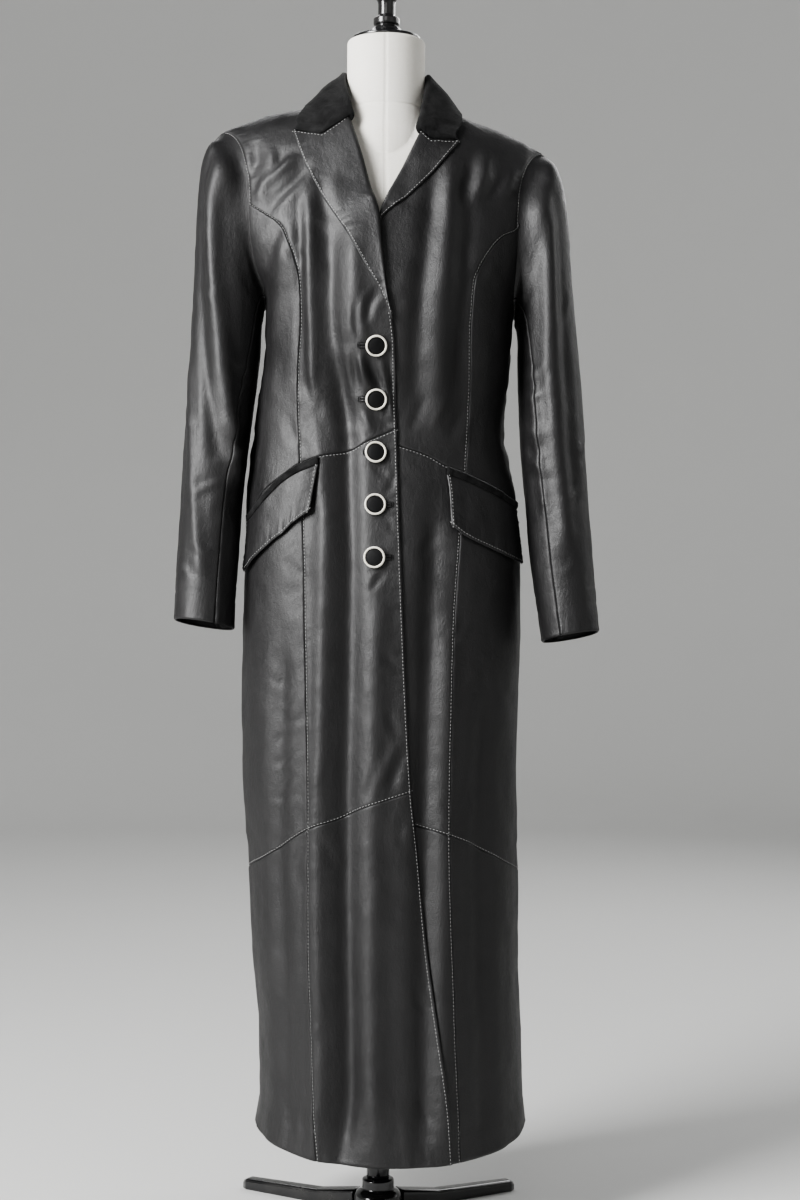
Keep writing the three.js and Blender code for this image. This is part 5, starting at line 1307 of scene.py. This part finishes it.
def roundedProfile(points, radius, steps=3):
    # the same profile with each corner off the axis rounded
    rounded = []
    closedRing = points[0] == points[-1]
    count = len(points) - 1 if closedRing else len(points)
    for k in range(count):
        here = np.array(points[k], float)
        if not closedRing and k in (0, count - 1):
            rounded.append(tuple(here))
            continue
        before, after = np.array(points[k - 1], float), np.array(points[(k + 1) % count], float)
        reach = min(radius, 0.45 * np.linalg.norm(before - here), 0.45 * np.linalg.norm(after - here))
        a = here + (before - here) / max(np.linalg.norm(before - here), 1e-9) * reach
        b = here + (after - here) / max(np.linalg.norm(after - here), 1e-9) * reach
        for t in np.linspace(0, 1, steps + 1):
            rounded.append(tuple((1 - t) ** 2 * a + 2 * t * (1 - t) * here + t * t * b))
    return rounded + [rounded[0]] if closedRing else rounded


def addPiece(made, node, slot):
    pieces[node] = {"object": made, "slot": slot}
    return made


def buttonSeat(height, out=0):
    spot = spotAt(buttons["x"], height)
    lift = float(rightFrontLift(spot))
    return bodyPoint(spot, lift + out, plain=True), bodyNormal(spot[0], spot[1])


def makeButtons():
    shankRadius, shankLength = buttons["shank"]
    faceRadius = buttons["radius"] - buttons["rimWidth"] - 0.3
    face = [(0, 0), (shankRadius, 0), (shankRadius, shankLength), (faceRadius - 1, shankLength),
            (faceRadius, shankLength + 1)]
    domeFoot, domeRise = shankLength + buttons["dome"][0], buttons["dome"][1]
    for a in np.linspace(0, math.pi / 2, 12)[:-1]:
        face.append((faceRadius * math.cos(a), domeFoot + domeRise * math.sin(a)))
    face.append((0, domeFoot + domeRise))
    inside, outside = buttons["radius"] - buttons["rimWidth"], buttons["radius"]
    back, front = shankLength - 0.2, shankLength + 3.8
    rim = [(inside, back), (outside - 0.6, back), (outside, back + 0.8), (outside, front - 0.9),
           (outside - 1.1, front), (inside + 0.7, front), (inside, front - 1), (inside, back)]
    rim = roundedProfile(rim, 0.5)
    for number, (height, (across, up)) in enumerate(zip(buttons["heights"], buttons["tilts"]), 1):
        seat, normal = buttonSeat(height, buttons["gap"])
        turn = Vector((0, 0, 1)).rotation_difference(Vector(normal) + Vector((across, 0, up)))
        made = turnedMesh(f"button_face_{number}_cover", face, buttons["segments"], seat, turn)
        addPiece(made, f"button_face_{number}", "button_cloth")
        made = turnedMesh(f"button_rim_{number}_ring", rim, buttons["segments"], seat, turn)
        addPiece(made, f"button_rim_{number}", "button_rim")


def sweptLine(points, faces, path, halfWidth, halfHeight, out, sides=10):
    # a thin rounded bar along a path on the front, drawn in at its ends
    path = np.array(path, float)
    spots = spotAt(path[:, 0], path[:, 1])
    base = bodyPoint(spots, rightFrontLift(spots) + out)
    normal = bodyNormal(spots[:, 0], spots[:, 1])
    way = np.gradient(base, axis=0)
    side = np.cross(normal, way / np.linalg.norm(way, axis=1, keepdims=True))
    start, count = len(points), len(path)
    ends = np.sqrt(np.sin(np.linspace(0.08, math.pi - 0.08, count)))[:, None]
    for k in range(sides):
        angle = 2 * math.pi * k / sides
        across, up = math.cos(angle) * halfWidth, math.sin(angle) * halfHeight
        points += list(base + (side * across + normal * up) * ends)
    for k in range(sides):
        a, b = start + k * count, start + (k + 1) % sides * count
        faces += [(a + j, a + j + 1, b + j + 1, b + j) for j in range(count - 1)]
    for j in (0, count - 1):
        faces.append([start + k * count + j for k in range(sides)])


def makeButtonholes():
    # two rolled lips, with dark matte strips laid in the slit between them, along the seam round them and as
    # a bar at each end: painted shade of the slit and its grooves
    lips, shadeStrips = ([], []), ([], [])
    for height, shift in zip(buttons["heights"], buttons["holeShift"]):
        low, high = [buttons["x"] + shift + way * buttons["holeLength"] / 2 for way in (-1, 1)]
        line = np.linspace(low, high, 22)
        for parts, (rises, *size) in ((lips, buttons["lips"]), (shadeStrips, buttons["seams"])):
            for up in rises:
                sweptLine(*parts, [(x, height + up) for x in line], *size)
        ends, *size = buttons["bars"]
        outer, inner = buttons["barPlaces"]
        for x in (low + outer, low + inner, high - inner, high - outer):
            sweptLine(*shadeStrips, [(x, height + z) for z in np.linspace(*ends, 9)], *size)
    made = []
    for name, parts in (("buttonholes", lips), ("buttonhole_painted_shade", shadeStrips)):
        piece = meshObject(name, *parts)
        faceOutwards(piece)
        made.append(piece)
    return made


makeButtons()
buttonholes = makeButtonholes()
print("buttons sewn on")


# Dress form: its size is a share of the coat's by height
form = {
    "sections": [(700, 0.8, 0.78), (780, 0.85, 0.8), (870, 0.89, 0.82), (965, 0.86, 0.84),
                 (1060, 0.78, 0.86), (1150, 0.84, 0.84), (1220, 0.88, 0.86), (1350, 0.86, 0.86),
                 (1450, 0.88, 0.8), (1560, 0.88, 0.78)],
    "bottom": 780, "shoulderGap": 2.45, "columns": 168, "rows": 96, "ridgeRise": 1554.2,
    # the lowest rings, as a share of the way up and of the width
    "footShares": [0, 0.002, 0.006], "footWidths": [0.985, 0.993, 0.998], "footEnd": 0.012,
    "neck": {"halfWidth": 52.5, "halfDepth": 51, "y": -1, "bottom": 1390, "top": 1580, "rounding": 5,
             "flare": (1428, 1496, 0.26)},
    "seamDepth": 1.5, "seamWidth": 1, "seamX": 0.4, "neckSeam": 1486, "neckSeamWidth": 1.2,
}
formShare = {"width": smoothCurve(form["sections"], 0, 1), "depth": smoothCurve(form["sections"], 0, 2)}


def frontTurns(count, extra=(0.004, 0.01, 0.02)):
    # turns all round, with some close together at the front and back seams
    turns = set(np.round(np.linspace(-math.pi, math.pi, count, endpoint=False), 6))
    for seam in (0, -math.pi):
        for shift in extra:
            turns |= {round(seam + shift, 6), round(seam - shift if seam == 0 else -seam - shift, 6)}
    return np.array(sorted(turns))


def formBody():
    turns = frontTurns(form["columns"])
    ridge = shoulderAt(bodyForm(turns, np.full_like(turns, form["ridgeRise"]), formShare)[:, 0])
    top = ridge - body["shoulderRounding"] * (1 - math.pi / 2)
    shares = np.concatenate([form["footShares"], np.linspace(form["footEnd"], 1, form["rows"])])
    rise = lerp(form["bottom"] + form["shoulderGap"], top[None], shares[:, None])
    points = bodyForm(turns[None] * np.ones_like(rise), rise, formShare) - (0, 0, form["shoulderGap"])
    points[-1, :, 1] = 0
    points[:3, :, :2] *= np.array(form["footWidths"])[:, None, None]
    seam = form["seamDepth"] * hump(points[..., 0] - form["seamX"], form["seamWidth"])
    points[..., 1] += seam * np.sign(np.cos(turns))[None] * (points[..., 1] != 0)
    rows, columns = points.shape[:2]
    at = np.arange(rows * columns).reshape(rows, columns)
    across = np.roll(at, -1, axis=1)
    faces = np.stack([at[:-1], across[:-1], across[1:], at[1:]], axis=2).reshape(-1, 4).tolist()
    flat = points.reshape(-1, 3).tolist() + [[0, 0, form["bottom"]]]
    faces += [[len(flat) - 1, int(across[0, k]), int(at[0, k])] for k in range(columns)]
    made = meshObject("form_body_cover", flat, faces)
    closeDoubles(made)
    return made


def closeDoubles(made):
    # points that lie on each other become one
    shape = bmesh.new()
    shape.from_mesh(made.data)
    bmesh.ops.remove_doubles(shape, verts=shape.verts, dist=0.00002)
    bmesh.ops.dissolve_degenerate(shape, dist=0.00001, edges=shape.edges)
    bmesh.ops.recalc_face_normals(shape, faces=shape.faces)
    shape.to_mesh(made.data)
    shape.free()


def formNeck():
    neck = form["neck"]
    low, high, spread = neck["flare"]
    heights = np.linspace(neck["bottom"] + 4, neck["top"] - neck["rounding"], 130)
    profile = [(0, neck["bottom"]), (1, neck["bottom"])]
    profile += [(float(1 + spread * (1 - smoothstep(z, low, high))), z) for z in heights]
    for degrees in (15, 30, 45, 60, 75, 90):
        angle = math.radians(degrees)
        inset = neck["rounding"] * (1 - math.cos(angle)) / neck["halfWidth"]
        profile.append((1 - inset, neck["top"] - neck["rounding"] * (1 - math.sin(angle))))
    profile += [(0.6, neck["top"]), (0.3, neck["top"]), (0, neck["top"])]
    made = turnedMesh("form_neck_cover", profile, 160, (0, neck["y"], 0),
                      stretch=(neck["halfWidth"], neck["halfDepth"]))
    for vertex in made.data.vertices:
        x, y, z = vertex.co / millimetre
        if y < 0 and z < neck["top"] - 1:
            vertex.co.y += form["seamDepth"] * hump(x - form["seamX"], form["seamWidth"]) * millimetre
        groove = form["seamDepth"] * hump(z - form["neckSeam"], form["neckSeamWidth"])
        inset = 1 - groove / neck["halfWidth"]
        vertex.co.x, vertex.co.y = vertex.co.x * inset, vertex.co.y * inset
    return made


def joinForm():
    trunk, neck = formBody(), formNeck()
    union = trunk.modifiers.new("join neck", "BOOLEAN")
    union.operation = "UNION"
    union.solver = "EXACT"
    union.object = neck
    bpy.context.view_layer.update()
    joined = bpy.data.meshes.new_from_object(trunk.evaluated_get(bpy.context.evaluated_depsgraph_get()))
    trunk.modifiers.clear()
    trunk.data = joined
    bpy.data.objects.remove(neck)
    joined.polygons.foreach_set("use_smooth", [True] * len(joined.polygons))
    return addPiece(trunk, "form_body", "form_cloth")


joinForm()
print("dress form covered")


# Stand: cap with its knob, post, hub and three legs
stand = {
    "cap": [(0, 0.3), (46, 0.3), (46.5, 1), (46.5, 3), (45.5, 4.5), (44, 5), (31.4, 6.3), (30.5, 7),
            (29, 9), (26, 10.6), (22, 13), (19.8, 16), (17, 18.2), (14.9, 19.6), (14.9, 20.4), (17, 22),
            (17.6, 23.2), (17.6, 29.8), (17, 31), (14.6, 32.2), (12.4, 33.6), (11.6, 35), (11.5, 38),
            (11.5, 50), (12, 53), (14, 57), (17, 61), (19, 64.5), (20.8, 69), (21.5, 74), (21, 79),
            (19.5, 83.5), (17, 87.5), (13, 91.2), (9.5, 93.4), (6, 94.5), (3, 94.9), (0, 95)],
    "postRadius": 15.5, "postBottom": 46.8, "postTop": 779.7,
    "hub": [(0, 0), (30, 0), (32, 4), (32, 24), (28, 29), (22, 32), (21.5, 45), (15.8, 46.5), (0, 46.5)],
    "segments": 96,
    "legBevel": 0.0016, "legFlat": math.radians(2),  # facets under this angle become one face
}


def makeStand():
    neck = form["neck"]
    cap = roundedProfile(stand["cap"], 1.2)
    turned = turnedMesh("neck_cap_turned", cap, stand["segments"], (0, neck["y"], neck["top"]))
    addPiece(turned, "neck_cap", "black_metal")
    radius, bottom, top = stand["postRadius"], stand["postBottom"], stand["postTop"]
    post = [(0, bottom), (radius - 1, bottom), (radius, bottom + 1)]
    post += [(radius, z) for z in np.linspace(60, top - 12, 24)]
    post += [(radius, top - 1), (radius - 1, top), (0, top)]
    addPiece(turnedMesh("post_tube", post, stand["segments"]), "post", "black_metal")
    hub = roundedProfile(stand["hub"], 2.2, 5)
    addPiece(turnedMesh("base_hub_turned", hub, stand["segments"]), "base_hub", "black_metal")
    # the legs are the solids with their flat faces made whole and their edges rounded
    for number in (1, 2, 3):
        node = f"base_leg_{number}"
        made = bpy.data.objects.new(f"{node}_cast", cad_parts[node].data.copy())
        scene.collection.objects.link(made)
        closeDoubles(made)
        shape = bmesh.new()
        shape.from_mesh(made.data)
        bmesh.ops.dissolve_limit(shape, angle_limit=stand["legFlat"], verts=shape.verts, edges=shape.edges)
        bmesh.ops.bevel(shape, geom=shape.edges[:], offset=stand["legBevel"], segments=3, profile=0.6,
                        affect="EDGES")
        for face in shape.faces:
            face.smooth = True
        shape.to_mesh(made.data)
        shape.free()
        addPiece(made, node, "black_metal")


makeStand()
print("stand turned")


# Stitches, laid along their lines by Geometry Nodes
stitches = {"spacing": 0.0046, "length": 0.003, "width": 0.001, "height": 0.0007, "lift": 0.4,
            "slant": 0.09, "seed": 5}


def addNode(tree, kind, settings=None, inputs=None):
    # a node with its settings first and then the values or links of its sockets
    node = tree.nodes.new(kind)
    for name, value in (settings or {}).items():
        setattr(node, name, value)
    for name, value in (inputs or {}).items():
        socket = node.inputs[name]
        if isinstance(value, bpy.types.NodeSocket):
            tree.links.new(value, socket)
        else:
            socket.default_value = value
    return node


def stitchTree(material):
    tree = bpy.data.node_groups.new("stitches", "GeometryNodeTree")
    tree.interface.new_socket("Line", in_out="INPUT", socket_type="NodeSocketGeometry")
    for name in ("Spacing", "Length", "Width", "Height"):
        tree.interface.new_socket(name, in_out="INPUT", socket_type="NodeSocketFloat")
    tree.interface.new_socket("Stitches", in_out="OUTPUT", socket_type="NodeSocketGeometry")
    source = addNode(tree, "NodeGroupInput")
    curve = addNode(tree, "GeometryNodeMeshToCurve", inputs={"Mesh": source.outputs["Line"]})
    even = addNode(tree, "GeometryNodeResampleCurve", {"mode": "LENGTH"},
                   {"Curve": curve.outputs[0], "Length": source.outputs["Spacing"]})
    outward = addNode(tree, "GeometryNodeInputNamedAttribute", {"data_type": "FLOAT_VECTOR"},
                      {"Name": "outward"})
    tangent = addNode(tree, "GeometryNodeInputTangent")
    upright = addNode(tree, "FunctionNodeAlignRotationToVector", {"axis": "Z"},
                      {"Vector": outward.outputs["Attribute"]})
    along = addNode(tree, "FunctionNodeAlignRotationToVector", {"axis": "X", "pivot_axis": "Z"},
                    {"Rotation": upright.outputs[0], "Vector": tangent.outputs[0]})
    slant = addNode(tree, "FunctionNodeRandomValue", {"data_type": "FLOAT"},
                    {"Min": -stitches["slant"], "Max": stitches["slant"], "Seed": stitches["seed"]})
    about = addNode(tree, "ShaderNodeCombineXYZ", inputs={"Z": slant.outputs["Value"]})
    turned = addNode(tree, "FunctionNodeEulerToRotation", inputs={0: about.outputs[0]})
    placed = addNode(tree, "FunctionNodeRotateRotation", {"rotation_space": "LOCAL"},
                     {"Rotation": along.outputs[0], "Rotate By": turned.outputs[0]})
    size = addNode(tree, "ShaderNodeCombineXYZ", inputs={
        "X": source.outputs["Length"], "Y": source.outputs["Width"], "Z": source.outputs["Height"]})
    thread = addNode(tree, "GeometryNodeMeshUVSphere", inputs={"Segments": 7, "Rings": 5, "Radius": 0.5})
    onLine = addNode(tree, "GeometryNodeInstanceOnPoints", inputs={
        "Points": even.outputs[0], "Instance": thread.outputs["Mesh"], "Rotation": placed.outputs[0],
        "Scale": size.outputs[0]})
    real = addNode(tree, "GeometryNodeRealizeInstances", inputs={0: onLine.outputs[0]})
    smooth = addNode(tree, "GeometryNodeSetShadeSmooth", inputs={0: real.outputs[0]})
    finish = addNode(tree, "GeometryNodeSetMaterial", inputs={
        "Geometry": smooth.outputs[0], "Material": material})
    sink = addNode(tree, "NodeGroupOutput")
    tree.links.new(finish.outputs[0], sink.inputs[0])
    return tree


def sewStitches(group, tree):
    points, edges, outwards = [], [], []
    for line, outward in stitchLines[group]:
        start = len(points)
        points += list(line + outward * stitches["lift"])
        outwards += list(outward)
        edges += [(start + k, start + k + 1) for k in range(len(line) - 1)]
    mesh = bpy.data.meshes.new(f"{group}_stitches")
    mesh.from_pydata((np.array(points) * millimetre).tolist(), edges, [])
    outward = mesh.attributes.new("outward", "FLOAT_VECTOR", "POINT")
    outward.data.foreach_set("vector", np.array(outwards, np.float32).ravel())
    made = bpy.data.objects.new(f"{group}_stitches", mesh)
    scene.collection.objects.link(made)
    sewing = made.modifiers.new("stitches", "NODES")
    sewing.node_group = tree
    inputs = {item.name: item.identifier for item in tree.interface.items_tree if item.in_out == "INPUT"}
    for name in ("spacing", "length", "width", "height"):
        sewing[inputs[name.capitalize()]] = stitches[name]
    bpy.context.view_layer.update()
    sewn = bpy.data.meshes.new_from_object(made.evaluated_get(bpy.context.evaluated_depsgraph_get()))
    made.modifiers.clear()
    made.data = sewn
    return made


# Finishes. A Value wraps a socket, so that sums on it add Math nodes.
class Value:
    def __init__(self, look, socket):
        self.look, self.socket = look, socket

    def sum(self, operation, first, second):
        first, second = [part.socket if isinstance(part, Value) else part for part in (first, second)]
        node = self.look.add("ShaderNodeMath", {"operation": operation}, {0: first, 1: second})
        return Value(self.look, node.outputs[0])

    def __add__(self, other):
        return self.sum("ADD", self, other)

    def __sub__(self, other):
        return self.sum("SUBTRACT", self, other)

    def __rsub__(self, other):
        return self.sum("SUBTRACT", other, self)

    def __mul__(self, other):
        return self.sum("MULTIPLY", self, other)

    def __pow__(self, other):
        return self.sum("POWER", self, other)

    def absolute(self):
        return self.sum("ABSOLUTE", self, 0)

    __radd__ = __add__
    __rmul__ = __mul__


class Look:
    # one material, its shader and the nodes that feed it
    def __init__(self, name, colour, **constants):
        self.material = bpy.data.materials.new(name)
        self.material.use_nodes = True
        self.tree = self.material.node_tree
        self.shader = self.tree.nodes["Principled BSDF"]
        self.shader.inputs["Base Color"].default_value = (*colour, 1)
        for key, value in constants.items():
            title = "".join(" " + letter if letter.isupper() else letter for letter in key)
            self.shader.inputs[title[:1].upper() + title[1:]].default_value = value
        self.place = self.add("ShaderNodeTexCoord").outputs["Object"]

    def add(self, kind, settings=None, inputs=None):
        return addNode(self.tree, kind, settings, inputs)

    def value(self, socket):
        return Value(self, socket)

    def noise(self, scale, detail=2, roughness=0.5, distortion=0, place=None):
        node = self.add("ShaderNodeTexNoise", {}, {
            "Vector": place or self.place, "Scale": scale, "Detail": detail, "Roughness": roughness,
            "Distortion": distortion})
        return self.value(node.outputs["Fac"])

    def cells(self, scale, feature="F1", randomness=1, place=None):
        node = self.add("ShaderNodeTexVoronoi", {"feature": feature},
                        {"Vector": place or self.place, "Scale": scale, "Randomness": randomness})
        return self.value(node.outputs["Distance"])

    def stripes(self, direction, scale, distortion=0):
        node = self.add("ShaderNodeTexWave", {"wave_type": "BANDS", "bands_direction": direction},
                        {"Vector": self.place, "Scale": scale, "Distortion": distortion,
                         "Detail": 1, "Detail Scale": 2})
        return self.value(node.outputs["Fac"])

    def between(self, value, low, high, fromLow=0.3, fromHigh=0.7):
        node = self.add("ShaderNodeMapRange", {}, {
            "Value": value.socket, "From Min": fromLow, "From Max": fromHigh, "To Min": low, "To Max": high})
        return self.value(node.outputs["Result"])

    def stretched(self, scale):
        return self.add("ShaderNodeMapping", {}, {"Vector": self.place, "Scale": scale}).outputs[0]

    def tint(self, factor, first, second):
        node = self.add("ShaderNodeMix", {"data_type": "RGBA"}, {"Factor": factor.socket})
        colours = [socket for socket in node.inputs if socket.type == "RGBA"]
        colours[0].default_value, colours[1].default_value = (*first, 1), (*second, 1)
        return [socket for socket in node.outputs if socket.type == "RGBA"][0]

    def colour(self, socket):
        self.tree.links.new(socket, self.shader.inputs["Base Color"])

    def feed(self, name, value):
        self.tree.links.new(value.socket, self.shader.inputs[name])

    def bump(self, height, distance, strength=1):
        last = self.shader.inputs["Normal"].links
        inputs = {"Height": height.socket, "Distance": distance, "Strength": strength}
        if last:
            inputs["Normal"] = last[0].from_socket
        node = self.add("ShaderNodeBump", {}, inputs)
        self.tree.links.new(node.outputs[0], self.shader.inputs["Normal"])


def leatherLook():
    look = Look("blackLeather", (0.009, 0.0088, 0.0092), coatWeight=0.06, coatRoughness=0.34)
    mottle = look.noise(11, 4, 0.55)
    wrinkle = look.noise(230, 5, 0.62, 0.9, look.stretched((1, 1, 0.55)))
    pebble = look.cells(950)
    look.colour(look.tint(look.between(mottle + wrinkle * 0.5, 0, 1, 0.45, 1.05),
                          (0.0075, 0.0073, 0.0077), (0.0145, 0.014, 0.0143)))
    look.feed("Roughness", look.between(mottle * 0.5 + wrinkle * 0.5, 0.43, 0.6, 0.35, 0.65))
    crease = look.noise(21, 2, 0.5, 0.25, look.stretched((1, 1, 0.45)))
    network = 1 - (crease * 2 - 1).absolute()
    patches = look.between(look.noise(6, 2), 0, 1, 0.48, 0.66)
    look.bump(network ** 12 * patches, 0.0014, 0.16)
    look.bump(wrinkle, 0.0008, 0.5)
    look.bump(look.noise(64, 4, 0.6, 0, look.stretched((1, 1, 0.35))), 0.002, 0.34)
    look.bump(look.noise(105, 3, 0.6, 0.5), 0.0012, 0.34)
    look.bump(pebble, 0.0003, 0.45)
    return look.material


def velvetLook():
    look = Look("blackVelvet", (0.008, 0.008, 0.009), sheenWeight=0.35, sheenRoughness=0.35)
    look.shader.inputs["Sheen Tint"].default_value = (0.3, 0.3, 0.3, 1)
    look.shader.inputs["Specular IOR Level"].default_value = 0.15
    nap = look.noise(46, 5, 0.68, 0.4)
    look.colour(look.tint(look.between(nap, 0, 1), (0.002, 0.002, 0.0021), (0.021, 0.021, 0.0212)))
    look.feed("Roughness", look.between(nap, 0.85, 1))
    look.bump(look.noise(900, 2, 0.7), 0.0005, 0.7)
    look.bump(nap, 0.003, 0.45)
    return look.material


def buttonClothLook():
    look = Look("buttonCloth", (0.008, 0.008, 0.009))
    look.shader.inputs["Specular IOR Level"].default_value = 0.2
    weave = look.stripes("X", 420) * look.stripes("Z", 420)
    look.colour(look.tint(weave, (0.003, 0.003, 0.0034), (0.01, 0.01, 0.0108)))
    look.feed("Roughness", look.between(weave, 0.5, 0.75, 0, 1))
    look.bump(weave, 0.0002, 0.6)
    return look.material


def rimLook():
    look = Look("ivoryRim", (0.82, 0.79, 0.71), roughness=0.28, coatWeight=0.4, coatRoughness=0.12)
    grain = look.noise(60, 4, 0.6, 1.2, look.stretched((1, 1, 6)))
    look.colour(look.tint(look.between(grain, 0, 1), (0.7, 0.66, 0.56), (0.86, 0.84, 0.77)))
    look.feed("Roughness", look.between(grain, 0.22, 0.36))
    look.bump(grain, 0.0002, 0.3)
    return look.material


def formClothLook():
    look = Look("creamCotton", (0.8, 0.77, 0.7))
    look.shader.inputs["Specular IOR Level"].default_value = 0.25
    weave = look.stripes("X", 520, 0.6) + look.stripes("Z", 520, 0.6)
    slub = look.noise(130, 3, 0.6, 0.4, look.stretched((1, 1, 5)))
    soil = look.noise(7, 4, 0.6)
    look.colour(look.tint(look.between(soil * 0.7 + slub * 0.3, 0, 1, 0.35, 0.65),
                          (0.83, 0.8, 0.73), (0.91, 0.89, 0.84)))
    look.feed("Roughness", look.between(slub, 0.82, 0.95))
    look.bump(weave, 0.00025, 0.55)
    look.bump(slub, 0.0006, 0.3)
    return look.material


def metalLook():
    look = Look("blackGloss", (0.01, 0.01, 0.01), roughness=0.2, coatWeight=0.6, coatRoughness=0.08)
    cast = look.noise(60, 3, 0.5)
    dust = look.noise(14, 5, 0.65)
    look.colour(look.tint(look.between(dust, 0, 1, 0.45, 0.75),
                          (0.008, 0.008, 0.0085), (0.02, 0.019, 0.018)))
    look.feed("Roughness", look.between(dust, 0.16, 0.34, 0.4, 0.75))
    look.bump(cast, 0.0008, 0.25)
    return look.material


def threadLook():
    look = Look("greyThread", (0.24, 0.24, 0.24), roughness=0.6)
    ply = look.noise(1500, 1)
    look.colour(look.tint(look.between(ply, 0, 1), (0.2, 0.2, 0.2), (0.36, 0.36, 0.355)))
    look.bump(ply, 0.0002, 0.5)
    return look.material


finishes = {"leather": leatherLook(), "velvet": velvetLook(), "button_cloth": buttonClothLook(),
            "button_rim": rimLook(), "form_cloth": formClothLook(), "black_metal": metalLook()}
thread = threadLook()
tree = stitchTree(thread)
sewn = [sewStitches(group, tree) for group in stitchLines]
print("stitches sewn:", len(sewn))


# Studio: a pale bowl of floor and wall all round, and soft lights as (place, aim, size, power)
studio = {
    "floorColour": (0.62, 0.62, 0.61),
    "flatRadius": 4.6, "wallRadius": 6.4, "height": 6.2, "segments": 96, "bendStep": 6,
    "lights": [
        ((-2.3, -1.9, 2.3), (0, 0, 1), (1.2, 2.6), 260),
        ((-0.4, -3.4, 2.9), (0, 0, 1.2), (1.2, 1.2), 9),
        ((2.6, -2.4, 1.7), (0, 0, 0.9), (1.6, 2.2), 3),
        ((2.4, 0.9, 2.3), (0, 0, 1.1), (0.7, 1.8), 14),
        ((1.4, 2.7, 2.9), (0, 0, 1), (1.4, 1.8), 42),
        ((-1.6, 6.2, 5.4), (0, 0, 0.2), (3, 2), 130),
    ],
    "worldColour": (0.9, 0.92, 0.95), "worldStrength": 0.12,
}


def addStudio():
    bend = studio["wallRadius"] - studio["flatRadius"]
    profile = [(0, 0)]
    for degrees in range(0, 91, studio["bendStep"]):
        angle = math.radians(degrees)
        profile.append((studio["flatRadius"] + bend * math.sin(angle), bend * (1 - math.cos(angle))))
    profile.append((studio["wallRadius"], studio["height"]))
    profile = [(radius / millimetre, height / millimetre) for radius, height in profile]
    bowl = turnedMesh("studio_bowl", profile, studio["segments"])
    look = Look("studioPaper", studio["floorColour"], roughness=0.85)
    worn = [part * 0.985 for part in studio["floorColour"]]
    look.colour(look.tint(look.noise(3, 3), studio["floorColour"], worn))
    bowl.data.materials.append(look.material)
    for number, (place, aim, size, power) in enumerate(studio["lights"], 1):
        lamp = bpy.data.lights.new(f"soft light {number}", "AREA")
        lamp.shape, lamp.size, lamp.size_y, lamp.energy = "RECTANGLE", size[0], size[1], power
        holder = bpy.data.objects.new(lamp.name, lamp)
        scene.collection.objects.link(holder)
        holder.visible_camera = False
        holder.location = place
        holder.rotation_euler = (Vector(aim) - Vector(place)).to_track_quat("-Z", "Y").to_euler()
    world = scene.world or bpy.data.worlds.new("studio")
    scene.world = world
    world.use_nodes = True
    sky = world.node_tree.nodes["Background"]
    sky.inputs["Color"].default_value = (*studio["worldColour"], 1)
    sky.inputs["Strength"].default_value = studio["worldStrength"]


addStudio()
print("studio lit")


# Each piece takes its finish and is hung on the root, and the node that it stands for is hidden
def dress(piece, material):
    piece.data.materials.clear()
    piece.data.materials.append(material)
    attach(piece, "root")


for node, row in pieces.items():
    dress(row["object"], finishes[row["slot"]])
    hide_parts(node)
    if "flat" in row:
        width, length = row["flat"]
        width * millimetre
        length * millimetre
        row["area"] * millimetre ** 2
dress(buttonholes[0], finishes["leather"])
# the strips in the slits and the grooves round the lips take the dark matte velvet as painted shade
dress(buttonholes[1], finishes["velvet"])
for made in sewn:
    dress(made, thread)
